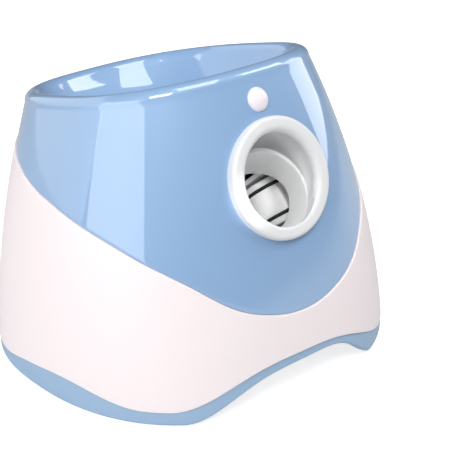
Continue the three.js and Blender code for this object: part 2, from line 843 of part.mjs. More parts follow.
function feedPinion() {
  const teeth = spurGear(pinionTeeth, pinionDirection + Math.PI + Math.PI / pinionTeeth, 0);
  const end = feedPlate.right + feedPlate.thick + gap + feedMotorBore - 2;
  return join(teeth, rod(at(gearStart + 1, 0, 0), at(end, 0, 0), pinionShaft, 10));
}

function feedMotor() {
  const face = feedPlate.right + feedPlate.thick + gap;
  const end = face + feedMotorLength;
  const [hole, bottom] = [pinionShaft + gap, face + feedMotorBore];
  const points = [
    [0, bottom], [hole, bottom], [hole, face], [feedMotorRadius, face],
    [feedMotorRadius, end - 1.5], [feedMotorRadius - 1.5, end], [0, end],
  ];
  return turned(points, 18, false).rotateY(Math.PI / 2);
}

const boxTop = cellZ + cellRadius + gap + boxWall;

function feedBracket(side) {
  const foot = boxTop + gap;
  const [front, rear] = [feeder.y - 9, feeder.y + 9];
  const top = [[feeder.y, feeder.z + 10], [front, feeder.z + 6]];
  const small = [[front, foot], [rear, foot], [rear, feeder.z + 6], ...top];
  const large = [
    [front, foot], [cellRowsY[1] + 12, foot], [pinionY + 10, pinionZ + 8], [pinionY, pinionZ + 13],
    [rear, feeder.z + 8], ...top,
  ];
  const shape = outline(side > 0 ? large : small);
  const hole = (y, z, radius) => new THREE.Path().absarc(y, z, radius, 0, 2 * Math.PI, true);
  shape.holes.push(hole(feeder.y, feeder.z, feedShaftRadius + gap));
  if (side > 0) shape.holes.push(hole(pinionY, pinionZ, 2 * pinionShaft));
  const plate = acrossX(slab(shape, feedPlate.thick));
  return plate.translate(side > 0 ? feedPlate.right : -feedPlate.left - feedPlate.thick, 0, 0);
}

function feedShaft() {
  const [left, right] = [-feedPlate.left - 6, feedPlate.right + feedPlate.thick + 2];
  return rod(at(left, 0, 0), at(right, 0, 0), feedShaftRadius, 14);
}

// Power.
function batteryBox() {
  const room = cellRadius + gap;
  const [front, rear] = [cellRowsY[0] - room - boxWall, cellRowsY[1] + room + boxWall];
  const outer = block(-boxHalfWidth, boxHalfWidth, front, rear, plateTop + gap, boxTop);
  const inner = boxHalfWidth - boxWall;
  const hollow = block(-inner, inner, front + boxWall, rear - boxWall, plateTop - 1, boxTop - boxWall);
  return cut(outer, hollow);
}

function batteryCell() {
  const half = cellLength / 2;
  const shoulder = half - knob.height;
  const points = [
    [0, -half], [cellRadius, -half], [cellRadius, shoulder], [knob.radius, shoulder],
    [knob.radius, half], [0, half],
  ];
  return turned(points, 14, false).rotateY(Math.PI / 2);
}

function batteryContact(side) {
  const [front, rear] = [cellRowsY[0] - contactHalf, cellRowsY[1] + contactHalf];
  const outer = boxHalfWidth - boxWall - gap;
  const inner = outer - contactThick;
  const plate = block(inner, outer, front, rear, cellZ - contactHalf, cellZ + contactHalf);
  const bumps = cellRowsY.map((y) => rod(at(inner - 1, y, cellZ), at(outer - gap, y, cellZ), 4, 10));
  const contact = join(plate, ...bumps);
  return side > 0 ? contact : mirrored(contact);
}

function batteryDoor() {
  const { halfWidth, front, rear, bottom, thick } = door;
  const lid = block(-halfWidth, halfWidth, front + 1, rear - 1, bottom, bottom + thick);
  const ridges = Array.from({ length: doorRidge.count }, (_, k) => {
    const start = front + doorRidge.from + k * doorRidge.pitch;
    const half = doorRidge.halfWidth;
    return block(-half, half, start, start + doorRidge.width, bottom - doorRidge.proud, bottom + 1);
  });
  return join(lid, ...ridges);
}

// Electronics.
function mainBoard() {
  const { halfWidth, front, rear, lift } = mainBoardEdge;
  const floor = plateTop + lift;
  const face = floor + boardThick;
  const board = block(-halfWidth, halfWidth, front, rear, floor, face);
  const posts = [-1, 1].flatMap((side) =>
    [front + 4, rear - 4].map((y) => {
      const x = side * (halfWidth - 4);
      return rod(at(x, y, plateTop + gap), at(x, y, floor + 0.5), 2.5, 8);
    }),
  );
  const chips = boardParts.map(([x0, x1, y0, y1, high]) => block(x0, x1, y0, y1, floor + 1, face + high));
  const { x, y, radius, height } = capacitor;
  const can = rod(at(x, y, floor + 1), at(x, y, face + height), radius, 12);
  return join(board, ...posts, ...chips, can);
}

function sensorLens() {
  const dome = [[0, 4.2], [3.4, 3.7], [6.2, 2.2], [7.7, 0.2], [8, -1], [8, -4.4]];
  const inside = [[6.6, -4.4], [6.6, -0.6], [4.6, 1.4], [0, 2.6]];
  return turned([...dome, ...inside], 14, false);
}

function sensorBoard() {
  const board = block(-11, 11, -7, 7, -8 - boardThick, -8);
  return join(board, rod(at(0, 0, -8.5), at(0, 0, -4.9), 4, 12));
}

const rearFace = skin(Math.PI, panelZ, whiteProud).y;

function controlBezel() {
  const panel = slab(stadium(panelHalfWidth, panelHalfHeight), panelThick);
  panel.translate(0, 0, panelProud - panelThick);
  const through = (x, radius, sides) => rod(at(x, 0, -9), at(x, 0, 9), radius + gap, sides);
  const lights = lightsX.map((x) => through(x, lightRadius, 10));
  return cut(panel, through(buttonX, buttonRadius, 20), ...lights);
}

function powerButton() {
  const ease = 1.5;
  const points = [
    [0, buttonProud], [buttonRadius - ease, buttonProud], [buttonRadius, buttonProud - ease],
    [buttonRadius, -buttonDeep], [0, -buttonDeep],
  ];
  return turned(points, 20, false);
}

function lightLens() {
  const dome = [[0, lightProud], [lightRadius - 0.6, lightProud - 0.2], [lightRadius, lightProud - 0.8]];
  return turned([...dome, [lightRadius, -lightDeep], [0, -lightDeep]], 10, false);
}

function controlBoard() {
  const board = block(-24, 24, -9, 9, -controlBoardDepth - boardThick, -controlBoardDepth);
  const [low, high] = [-controlBoardDepth - 0.2, 1.8 - controlBoardDepth];
  return join(board, rod(at(buttonX, 0, low), at(buttonX, 0, high), 3, 10));
}

function dcJack() {
  const [flange, pin, room] = [jackRadius + 1.6, 1, 3];
  const points = [
    [0, -1], [pin, -1.6], [pin, -9], [room, -9], [room, 1.4], [flange - 1.2, 1.4], [flange, 0.8],
    [flange, gap], [jackRadius, gap], [jackRadius, -12], [0, -12],
  ];
  return turned(points, 12, false);
}

// Assembly.
const launcher = new THREE.Group();

function finish(hue, roughness, metalness = 0) {
  return new THREE.MeshStandardMaterial({ color: hue, roughness, metalness });
}

const finishes = {
  blueGloss: finish(colour.blue, 0.2),
  blueSatin: finish(colour.blueBand, 0.45),
  white: finish(colour.white, 0.4),
  nozzle: finish(colour.nozzle, 0.4),
  barrel: finish(colour.barrel, 0.45),
  grey: finish(colour.grey, 0.5),
  rubber: finish(colour.black, 0.8),
  drum: finish(colour.drum, 0.35),
  steel: finish(colour.steel, 0.3, 0.9),
  board: finish(colour.board, 0.5),
  gear: finish(colour.gear, 0.45),
  contact: finish(colour.copper, 0.35, 0.9),
  cell: finish(colour.cell, 0.4, 0.3),
};

function add(parent, name, geometry, material) {
  const mesh = new THREE.Mesh(geometry, material);
  mesh.name = name;
  parent.add(mesh);
  return mesh;
}

const sensorFrame = new THREE.Group();
const sensorSpot = skin(0, sensorZ);
const sensorSlope = skin(0, sensorZ + 2).sub(skin(0, sensorZ - 2));
sensorFrame.position.copy(sensorSpot);
sensorFrame.rotation.x = Math.PI / 2 - Math.atan2(sensorSlope.y, sensorSlope.z);

const panelFrame = new THREE.Group();
panelFrame.position.set(0, rearFace, panelZ);
panelFrame.rotation.x = -Math.PI / 2;

const jackFrame = new THREE.Group();
jackFrame.position.set(0, skin(Math.PI, jackZ, whiteProud).y, jackZ);
jackFrame.rotation.x = -Math.PI / 2;

const feedFrame = new THREE.Group();
feedFrame.position.set(0, feeder.y, feeder.z);

const pinionFrame = new THREE.Group();
pinionFrame.position.set(0, pinionY, pinionZ);

launcher.add(nozzleFrame, launchFrame, sensorFrame, panelFrame, jackFrame, feedFrame, pinionFrame);

add(launcher, "upper_shell", upperShell(), finishes.blueGloss);
add(launcher, "hopper_bowl", outward(ringOf(bowlProfile, 40)), finishes.blueGloss);
add(launcher, "lower_shell", lowerShell(), finishes.white);
add(launcher, "base_band", outward(ringOf(baseBandProfile, bodySteps)), finishes.blueSatin);
add(launcher, "base_plate", basePlate(), finishes.grey);
for (const [place, x, y] of footSpots) {
  add(launcher, `foot_pad_${place}`, outward(footPad()), finishes.rubber).position.set(x, y, 0);
}
for (const [place, angle] of screwAngles) {
  const spot = screwSpot(angle);
  const fastener = add(launcher, `base_screw_${place}`, outward(baseScrew()), finishes.steel);
  fastener.position.set(spot.x, spot.y, 0);
}

add(nozzleFrame, "nozzle_ring", nozzleRing(), finishes.nozzle);
add(launcher, "barrel_left", barrelHalf(-1), finishes.barrel);
add(launcher, "barrel_right", barrelHalf(1), finishes.barrel);

for (const [place, side] of [["left", -1], ["right", 1]]) {
  const unit = new THREE.Group();
  unit.position.set(side * rollerSide, rollerBack, 0);
  launchFrame.add(unit);
  add(unit, `roller_drum_${place}`, outward(drum()), finishes.drum);
  add(unit, `roller_ring_upper_${place}`, outward(gripRing()), finishes.rubber).position.z = ringAt;
  add(unit, `roller_ring_lower_${place}`, outward(gripRing()), finishes.rubber).position.z = -ringAt;
  add(unit, `roller_shaft_${place}`, rollerShaft(), finishes.steel);
  add(unit, `roller_bush_${place}`, outward(rollerBush()), finishes.contact);
  add(unit, `roller_motor_${place}`, outward(rollerMotor()), finishes.steel);
  add(launchFrame, `roller_bracket_${place}`, rollerBracket(side), finishes.grey);
  add(launcher, `bracket_leg_${place}`, bracketLeg(side), finishes.grey);
}

add(feedFrame, "feed_rotor", outward(feedRotor()), finishes.gear);
add(feedFrame, "feed_shaft", feedShaft(), finishes.steel);
const feedGear = outward(spurGear(gearTeeth, pinionDirection, feedShaftRadius + gap));
add(feedFrame, "feed_gear", feedGear, finishes.gear);
add(pinionFrame, "feed_pinion", feedPinion(), finishes.contact);
add(pinionFrame, "feed_motor", outward(feedMotor()), finishes.steel);
add(launcher, "feed_bracket_left", outward(feedBracket(-1)), finishes.grey);
add(launcher, "feed_bracket_right", outward(feedBracket(1)), finishes.grey);

add(launcher, "battery_box", batteryBox(), finishes.grey);
cellRowsY.forEach((y, row) => {
  for (let k = 0; k < 3; k += 1) {
    const cell = add(launcher, `battery_cell_${row * 3 + k + 1}`, outward(batteryCell()), finishes.cell);
    cell.position.set((k - 1) * cellPitch, y, cellZ);
    if (row === 1) cell.rotation.z = Math.PI;
  }
});
add(launcher, "battery_contact_left", batteryContact(-1), finishes.contact);
add(launcher, "battery_contact_right", batteryContact(1), finishes.contact);
add(launcher, "battery_door", batteryDoor(), finishes.grey);

add(launcher, "main_board", mainBoard(), finishes.board);
add(sensorFrame, "pir_lens", outward(sensorLens()), finishes.white);
add(sensorFrame, "pir_board", sensorBoard(), finishes.board);
add(panelFrame, "control_bezel", controlBezel(), finishes.nozzle);
const button = add(panelFrame, "power_button", outward(powerButton()), finishes.grey);
button.position.x = buttonX;
lightsX.forEach((x, k) => {
  add(panelFrame, `led_lens_${k + 1}`, outward(lightLens()), finishes.white).position.x = x;
});
add(panelFrame, "control_board", controlBoard(), finishes.board);
add(jackFrame, "dc_jack", outward(dcJack()), finishes.rubber);

export default launcher;
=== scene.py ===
import math

import bpy
from mathutils import Matrix, Quaternion, Vector


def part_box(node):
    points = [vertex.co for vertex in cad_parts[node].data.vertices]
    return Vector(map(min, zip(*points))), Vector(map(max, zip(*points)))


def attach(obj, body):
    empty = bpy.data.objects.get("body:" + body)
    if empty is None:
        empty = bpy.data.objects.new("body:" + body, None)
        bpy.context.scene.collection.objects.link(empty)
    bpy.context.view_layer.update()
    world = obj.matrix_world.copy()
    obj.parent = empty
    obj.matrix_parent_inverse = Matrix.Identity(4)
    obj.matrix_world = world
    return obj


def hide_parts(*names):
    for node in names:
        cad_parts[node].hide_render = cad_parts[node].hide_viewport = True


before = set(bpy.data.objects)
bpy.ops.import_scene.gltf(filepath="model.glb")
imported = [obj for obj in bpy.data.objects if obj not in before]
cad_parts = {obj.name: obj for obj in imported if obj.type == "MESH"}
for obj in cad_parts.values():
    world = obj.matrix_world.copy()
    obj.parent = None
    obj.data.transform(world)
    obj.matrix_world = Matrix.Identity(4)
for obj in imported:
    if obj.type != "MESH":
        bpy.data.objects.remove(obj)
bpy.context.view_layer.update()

MM = 0.001
DEGREE = math.pi / 180

# Body skin, as the casing was drawn: a wide base outline that narrows to a smaller, tilted rim.
BASE_HALF_WIDTH = 135.6 * MM
BASE_FRONT = 137 * MM
BASE_BACK = 108.9 * MM
BASE_CENTRE_Y = 10.6 * MM
RIM_HALF_WIDTH = 91.7 * MM
RIM_FRONT = 76.5 * MM
RIM_BACK = 108.3 * MM
RIM_CENTRE_Y = 14.6 * MM
RIM_CENTRE_Z = 181.3 * MM
RIM_TILT = 14.5 * DEGREE
CORNER_POWER = {"base_front": 0.85, "base_back": 0.877, "rim_front": 0.817, "rim_back": 0.8}
WALL_BEND = 0.818
FRONT_WALL_BEND = 0.61
AROUND = 256

# Casing walls and seams.
WALL = 2.8 * MM
LIP_RADIUS = 6.91 * MM
LIP_SHARE = 0.07
WHITE_PROUD = 0.96 * MM
WHITE_INNER = -1.4 * MM
SEAM_GAP = 0.12 * MM
JOINT_GAP = 0.03 * MM
BOWL_EASE = 0.8 * MM
SHELL_GAP = 0.3 * MM
EDGE_EASE = 0.45 * MM
SEAM_KEYS = [
    (0, 59), (10, 63.5), (20, 72), (35, 91.5), (50, 105.5),
    (65, 116.5), (90, 127.6), (120, 136.5), (180, 140),
]
BAND_LOW = 10.3 * MM
BAND_ARCH_RISE = 22.6 * MM
BAND_ARCH_ANGLE = 39.6
BAND_SIDE_RISE = 9 * MM
BAND_SIDE_ANGLE = 78
BAND_SIDE_REACH = 28
BAND_LIFT = 0.6 * MM
BAND_INNER = -5.5 * MM
BAND_EASE = 2 * MM
ARCH_HEIGHT = 25.8 * MM
ARCH_REACH = {"left": 39, "right": 26, "rear": 33.8}
ARCH_POWER = 1.43
BAND_ARCH_MIDDLE = -3.7

# Hopper.
THROAT_Y = 11.6 * MM
THROAT_Z = 126 * MM
THROAT_RADIUS = 29.5 * MM
THROAT_COLLAR = 5 * MM
BOWL_WALL = 2.4 * MM
BOWL_KNEE_IN = 0.28
BOWL_KNEE_DOWN = 0.72
FUNNEL_TURN = 157 * DEGREE

# Nozzle and barrel.
NOZZLE_Y = -87.6 * MM
NOZZLE_Z = 141.5 * MM
NOZZLE_TILT = 22.7 * DEGREE
FLANGE_RADIUS = 39.6 * MM
FLANGE_DEPTH = 6 * MM
FLANGE_WALL = 2.4 * MM
NOZZLE_THROAT = 31.2 * MM
NOZZLE_LIP = {
    "radius": 29.4 * MM, "height": 4 * MM, "inside": 4.6 * MM, "outside": 2.8 * MM,
    "under": 2.2 * MM, "slope": 6 * MM,
}
CUP_DEPTH = 20.5 * MM
CUP_FLOOR = 27 * MM
CUP_FLOOR_EDGE = 28.6 * MM
CUP_HOLE = 18 * MM
CUP_WALL = 2.5 * MM
MOUTH_Y = -79.7 * MM
MOUTH_Z = 129.9 * MM
LAUNCH_ANGLE = 42 * DEGREE
BORE_RADIUS = 27.6 * MM
BARREL_RADIUS = 30.3 * MM
WINDOW_RADIUS = 24.6 * MM
WINDOW_BACK = 43.6 * MM
ELBOW_BACK = 68 * MM
BEND_RADIUS = 31 * MM
MOUTH_EASE = 0.6 * MM
CHANNEL_Z = 93 * MM

# Rollers, in the barrel's frame.
ROLLER_SIDE = 45 * MM
ROLLER_BACK = 50 * MM
DRUM_RADIUS = 21.4 * MM
DRUM_HALF = 16 * MM
RING_AT = 10.7 * MM
RING_TUBE = 1.1 * MM
RING_RADIUS = 20.9 * MM
GROOVE_RADIUS = 19.5 * MM
GROOVE_HALF = 1.3 * MM
SHAFT_RADIUS = 1.6 * MM
BRACKET_HALF = 21 * MM
BRACKET_PLATE = 2.5 * MM
BUSH_RADIUS = 4 * MM
MOTOR_RADIUS = 13 * MM
MOTOR_LENGTH = 33 * MM

# Feeder.
FEEDER_Y = 55 * MM
FEEDER_Z = 94 * MM
FEEDER_RADIUS = 27 * MM
FEEDER_HALF = 15 * MM
FEEDER_HUB = 8 * MM
FEEDER_BLADE = 2 * MM
FEED_MOTOR_START = 32.3 * MM
FEED_MOTOR_LENGTH = 30 * MM
FEED_MOTOR_RADIUS = 12 * MM

# Base and battery space.
PLATE_BOTTOM = 27.3 * MM
PLATE_TOP = 30 * MM
PLATE_ROOM = 1.6 * MM
TONGUE_HEIGHT = 4 * MM
FOOT_SPOTS = {
    "front_left": (-80 * MM, -56 * MM),
    "front_right": (80 * MM, -56 * MM),
    "rear_left": (-97 * MM, 58 * MM),
    "rear_right": (97 * MM, 58 * MM),
}
FOOT_RADIUS = 9 * MM
FOOT_HEIGHT = 3.3 * MM
POST_RADIUS = 11 * MM
SCREW_ANGLES = {"front_left": -52, "front_right": 52, "rear_left": -128, "rear_right": 128}
SCREW_INSET = -14 * MM
SCREW_HEAD = 3.5 * MM
SCREW_HEAD_HEIGHT = 2.2 * MM
SCREW_SHANK = 1.4 * MM
SCREW_LENGTH = 12 * MM
DOOR = {"half": 78 * MM, "front": 42 * MM, "rear": 92 * MM, "bottom": 24.7 * MM, "thick": 2.3 * MM}
DOOR_RAIL = {"width": 2.4 * MM, "lip": 3 * MM, "thick": 2 * MM}
DOOR_REST = {"side": 4 * MM, "end": 3 * MM}
RIB_ENDS = (-88 * MM, 29 * MM)
CELL_RADIUS = 13.1 * MM
CELL_LENGTH = 48.6 * MM
CELL_PITCH = 50 * MM
CELL_ROWS_Y = (53.3 * MM, 80.3 * MM)
CELL_Z = 43.8 * MM

# Rear panel and sensor.
PANEL_Z = 88 * MM
PANEL_HALF_WIDTH = 29 * MM
PANEL_HALF_HEIGHT = 13 * MM
PANEL_THICK = 5 * MM
PANEL_PROUD = 0.8 * MM
BUTTON_X = -14 * MM
BUTTON_RADIUS = 7.8 * MM
BUTTON_PROUD = 1.6 * MM
BUTTON_DEEP = 5 * MM
LIGHTS_X = (6 * MM, 13 * MM, 20 * MM)
LIGHT_RADIUS = 1.8 * MM
JACK_Z = 50 * MM
JACK_RADIUS = 5 * MM
SENSOR_Z = 188.2 * MM
SENSOR_RADIUS = 8.2 * MM

# Camera, at the photograph's viewing angle.
CAMERA_PLACE = Vector((-0.500006, -0.603934, 0.457625))
CAMERA_TARGET = Vector((0.017851, -0.025283, 0.072242))
CAMERA_LENS = 94.98
CAMERA_ROLL = 0.29 * DEGREE
LAMP_AIM = Vector((0, 0, 0.13))
FLOOR_GLOW = 0.78
PLAIN_LIGHT = 0.1


# Body skin.
def between(a, b, share):
    return a + (b - a) * share


def shares(count):
    return [k / count for k in range(count + 1)]


def quarter(count):
    """Even steps over a quarter turn."""
    return [math.pi / 2 * s for s in shares(count)]


def bowed(value, power):
    return math.copysign(abs(value) ** power, value)


def base_edge(angle):
    front = math.cos(angle) > 0
    power = CORNER_POWER["base_front" if front else "base_back"]
    reach = BASE_FRONT if front else BASE_BACK
    y = BASE_CENTRE_Y - reach * bowed(math.cos(angle), power)
    return Vector((BASE_HALF_WIDTH * bowed(math.sin(angle), power), y, 0))


def rim_edge(angle):
    front = math.cos(angle) > 0
    power = CORNER_POWER["rim_front" if front else "rim_back"]
    reach = (RIM_FRONT if front else RIM_BACK) * bowed(math.cos(angle), power)
    return Vector((
        RIM_HALF_WIDTH * bowed(math.sin(angle), power),
        RIM_CENTRE_Y - reach * math.cos(RIM_TILT),
        RIM_CENTRE_Z + reach * math.sin(RIM_TILT),
    ))


def skin_share(angle, share):
    base, rim = base_edge(angle), rim_edge(angle)
    bend = WALL_BEND + (FRONT_WALL_BEND - WALL_BEND) * max(math.cos(angle), 0) ** 2
    inward = (1 - bend) * share + bend * share**2
    return Vector((between(base.x, rim.x, inward), between(base.y, rim.y, inward), rim.z * share))


def skin(angle, height, offset=0.0):
    """A point of the skin at a height, moved out by the offset, or in by a negative one."""
    share = height / rim_edge(angle).z
    along = skin_share(angle + 0.01, share) - skin_share(angle - 0.01, share)
    return skin_share(angle, share) + Vector((along.y, -along.x, 0)).normalized() * offset


RIM_UP = Vector((0, math.sin(RIM_TILT), math.cos(RIM_TILT)))


def lip_out(angle):
    return (rim_edge(angle + 0.01) - rim_edge(angle - 0.01)).cross(RIM_UP).normalized()


def lip(angle, turn, radius):
    """A point of the rolled lip: turn 0 is its outermost line and a quarter turn its top."""
    place = rim_edge(angle) + lip_out(angle) * (radius * math.cos(turn) - LIP_RADIUS)
    return place + RIM_UP * (radius * math.sin(turn))


def funnel_line(angle):
    """The lip's last turn, then the top, knee and foot of the funnel's wall, with no corner at the lip."""
    foot = Vector((THROAT_RADIUS * math.sin(angle), THROAT_Y - THROAT_RADIUS * math.cos(angle), THROAT_Z))
    out = lip_out(angle)
    turn = FUNNEL_TURN
    for _ in range(3):
        top = lip(angle, turn, LIP_RADIUS)
        knee = Vector((
            between(top.x, foot.x, BOWL_KNEE_IN),
            between(top.y, foot.y, BOWL_KNEE_IN),
            between(top.z, foot.z, BOWL_KNEE_DOWN),
        ))
        last_turn = turn
        turn = math.atan2(-(knee - top).dot(out), (knee - top).dot(RIM_UP))
    return last_turn, (top, knee, foot)


def on_funnel(line, share):
    top, knee, foot = line
    return top * (1 - share) ** 2 + knee * 2 * share * (1 - share) + foot * share**2


def under_funnel(line, share, thick):
    """The point under the funnel's wall, where a wall of this thickness ends."""
    top, knee, foot = line
    down = ((knee - top) * (1 - share) + (foot - knee) * share).normalized()
    level = math.hypot(down.x, down.y)
    out = Vector((-down.x, -down.y, 0)) / level
    return on_funnel(line, share) + out * (-thick * down.z) - Vector((0, 0, thick * level))


def seam_height(angle):
    """A smooth curve through the seam's keys, the same on both sides of the front."""
    aside = abs((angle / DEGREE + 180) % 360 - 180)
    last = len(SEAM_KEYS) - 1
    i = next(k for k in range(last) if aside <= SEAM_KEYS[k + 1][0] or k == last - 1)
    (a0, h0), (a1, h1) = SEAM_KEYS[i], SEAM_KEYS[i + 1]

    def slope(k):
        if k in (0, last):
            return 0
        before, after = SEAM_KEYS[k - 1], SEAM_KEYS[k + 1]
        return (after[1] - before[1]) / (after[0] - before[0])

    span = a1 - a0
    u = (aside - a0) / span
    height = (2 * u**3 - 3 * u**2 + 1) * h0 + (3 * u**2 - 2 * u**3) * h1
    height += (u**3 - 2 * u**2 + u) * span * slope(i) + (u**3 - u**2) * span * slope(i + 1)
    return height * MM


def apart(angle, middle):
    """Degrees between an angle and another one."""
    return math.acos(max(-1.0, min(1.0, math.cos(angle - middle)))) / DEGREE


def arch_shape(from_middle, reach, power):
    return 0.5 + 0.5 * math.cos(math.pi * min(from_middle / reach, 1) ** power)


def band_top(angle):
    side = min(abs(apart(angle, 0) - BAND_SIDE_ANGLE) / BAND_SIDE_REACH, 1)
    from_arch = min(apart(angle, BAND_ARCH_MIDDLE * DEGREE), apart(angle, math.pi))
    arch = BAND_ARCH_RISE * arch_shape(from_arch, BAND_ARCH_ANGLE, 1.2)
    return BAND_LOW + arch + BAND_SIDE_RISE * math.cos(side * math.pi / 2) ** 2


def band_bottom(angle):
    """The front arch reaches further to the left than to the right."""
    front_reach = ARCH_REACH["left"] if math.sin(angle) < 0 else ARCH_REACH["right"]
    front = arch_shape(apart(angle, 0), front_reach, ARCH_POWER)
    rear = arch_shape(apart(angle, math.pi), ARCH_REACH["rear"], ARCH_POWER)
    return BAND_LIFT + ARCH_HEIGHT * (front + rear)


# Frames of the tilted groups.
def turned_about_x(place, angle):
    return Matrix.Translation(place) @ Matrix.Rotation(angle, 4, "X")


NOZZLE = turned_about_x((0, NOZZLE_Y, NOZZLE_Z), math.pi / 2 - NOZZLE_TILT)
LAUNCH = turned_about_x((0, MOUTH_Y, MOUTH_Z), -LAUNCH_ANGLE)
SENSOR_SLOPE = skin(0, SENSOR_Z + 2 * MM) - skin(0, SENSOR_Z - 2 * MM)
SENSOR = turned_about_x(skin(0, SENSOR_Z), math.pi / 2 - math.atan2(SENSOR_SLOPE.y, SENSOR_SLOPE.z))
PANEL = turned_about_x((0, skin(math.pi, PANEL_Z, WHITE_PROUD).y, PANEL_Z), -math.pi / 2)
JACK = turned_about_x((0, skin(math.pi, JACK_Z, WHITE_PROUD).y, JACK_Z), -math.pi / 2)
UPRIGHT = Matrix.Identity(4)
# Turns a cylinder made along Z to run along the barrel's own Y.
BACKWARD = Matrix.Rotation(math.pi / 2, 4, "X")


# Modelling helpers.
def deselect():
    bpy.ops.object.select_all(action="DESELECT")


def named(name):
    piece = bpy.context.object
    piece.name = name
    piece.data.name = name
    return piece


def pick(piece):
    deselect()
    piece.select_set(True)
    bpy.context.view_layer.objects.active = piece


def edit(piece):
    pick(piece)
    bpy.ops.object.mode_set(mode="EDIT")
    bpy.ops.mesh.select_all(action="SELECT")


def done():
    bpy.ops.object.mode_set(mode="OBJECT")


def face_out(piece):
    edit(piece)
    bpy.ops.mesh.remove_doubles(threshold=0.5e-6)
    bpy.ops.mesh.normals_make_consistent(inside=False)
    done()
    return piece


def settle(piece, place=UPRIGHT):
    """Puts the piece in its frame and leaves its object at the origin."""
    pick(piece)
    piece.matrix_world = place @ piece.matrix_world
    bpy.ops.object.transform_apply(location=True, rotation=True, scale=True)
    return piece


def apply_modifier(piece, kind, **values):
    pick(piece)
    modifier = piece.modifiers.new(kind.title(), kind)
    for key, value in values.items():
        setattr(modifier, key, value)
    bpy.ops.object.modifier_apply(modifier=modifier.name)


def ease_edges(piece, width, segments=2, angle=30):
    apply_modifier(
        piece, "BEVEL", width=width, segments=segments, limit_method="ANGLE",
        angle_limit=angle * DEGREE, use_clamp_overlap=True, harden_normals=False,
    )


def cut_away(piece, *cutters):
    for cutter in cutters:
        apply_modifier(piece, "BOOLEAN", operation="DIFFERENCE", solver="EXACT", object=cutter)
        bpy.data.objects.remove(cutter)
    return piece


def joined(name, pieces):
    pick(pieces[0])
    for piece in pieces[1:]:
        piece.select_set(True)
    bpy.ops.object.join()
    return named(name)


def ring_round_body(name, section_at, around=AROUND):
    """A closed section carried once round the body, shaped from a torus loop by loop."""
    rows = [section_at(2 * math.pi * i / around) for i in range(around)]
    deselect()
    bpy.ops.mesh.primitive_torus_add(major_segments=around, minor_segments=len(rows[0]))
    piece = named(name)
    for vertex, place in zip(piece.data.vertices, (point for row in rows for point in row)):
        vertex.co = place
    return face_out(piece)


def lathe(name, outline, place=UPRIGHT, steps=96):
    """Spins an outline of (radius, height) points about Z. Ends on the axis close it there."""
    deselect()
    bpy.ops.mesh.primitive_circle_add(vertices=len(outline), fill_type="NOTHING")
    piece = named(name)
    for vertex, (radius, height) in zip(piece.data.vertices, outline):
        vertex.co = (radius, 0, height)
    edit(piece)
    bpy.ops.mesh.spin(steps=steps, angle=2 * math.pi, center=(0, 0, 0), axis=(0, 0, 1))
    bpy.ops.mesh.select_all(action="SELECT")
    bpy.ops.mesh.remove_doubles(threshold=1e-6)
    bpy.ops.mesh.dissolve_degenerate(threshold=1e-6)
    bpy.ops.mesh.delete_loose()
    bpy.ops.mesh.select_all(action="SELECT")
    bpy.ops.mesh.normals_make_consistent(inside=False)
    done()
    return settle(piece, place)


def prism(name, outline, depth, place=UPRIGHT):
    """Extrudes an outline of (x, y) points upwards by a depth."""
    deselect()
    bpy.ops.mesh.primitive_circle_add(vertices=len(outline), fill_type="NGON")
    piece = named(name)
    for vertex, (x, y) in zip(piece.data.vertices, outline):
        vertex.co = (x, y, 0)
    edit(piece)
    bpy.ops.mesh.extrude_region_move(TRANSFORM_OT_translate={"value": (0, 0, depth)})
    bpy.ops.mesh.select_all(action="SELECT")
    bpy.ops.mesh.normals_make_consistent(inside=False)
    done()
    return settle(piece, place)


def block(name, x, y, z):
    """A box between three pairs of low and high values."""
    deselect()
    middle = [(low + high) / 2 for low, high in (x, y, z)]
    bpy.ops.mesh.primitive_cube_add(size=1, location=middle)
    piece = named(name)
    piece.scale = [high - low for low, high in (x, y, z)]
    return settle(piece)


def bar(name, radius, low, high, place=UPRIGHT, sides=96):
    """A plain cylinder along Z between two heights, mostly used to cut with."""
    deselect()
    middle = (0, 0, (low + high) / 2)
    bpy.ops.mesh.primitive_cylinder_add(vertices=sides, radius=radius, depth=high - low, location=middle)
    return settle(named(name), place)


def copy_of(piece, name, place):
    twin = piece.copy()
    twin.data = piece.data.copy()
    twin.name = name
    twin.data.name = name
    bpy.context.scene.collection.objects.link(twin)
    return settle(twin, place)


def stadium(half_width, half_height, count=24):
    straight = half_width - half_height
    outline = []
    for side, start in ((1, -90), (-1, 90)):
        for share in shares(count):
            turn = (start + 180 * share) * DEGREE
            outline.append((side * straight + half_height * math.cos(turn), half_height * math.sin(turn)))
    return outline


# Node groups, built once and shared by the materials.
def group_with(name, inputs, outputs):
    group = bpy.data.node_groups.new(name, "ShaderNodeTree")
    for label, kind in inputs:
        group.interface.new_socket(label, in_out="INPUT", socket_type=f"NodeSocket{kind}")
    for label, kind in outputs:
        group.interface.new_socket(label, in_out="OUTPUT", socket_type=f"NodeSocket{kind}")
    return group, group.nodes.new("NodeGroupInput"), group.nodes.new("NodeGroupOutput")


def noise(tree, vector, scale, detail=2.0, roughness=0.5):
    node = tree.nodes.new("ShaderNodeTexNoise")
    node.inputs["Detail"].default_value = detail
    node.inputs["Roughness"].default_value = roughness
    tree.links.new(vector, node.inputs["Vector"])
    if isinstance(scale, (int, float)):
        node.inputs["Scale"].default_value = scale
    else:
        tree.links.new(scale, node.inputs["Scale"])
    return node.outputs["Fac"]


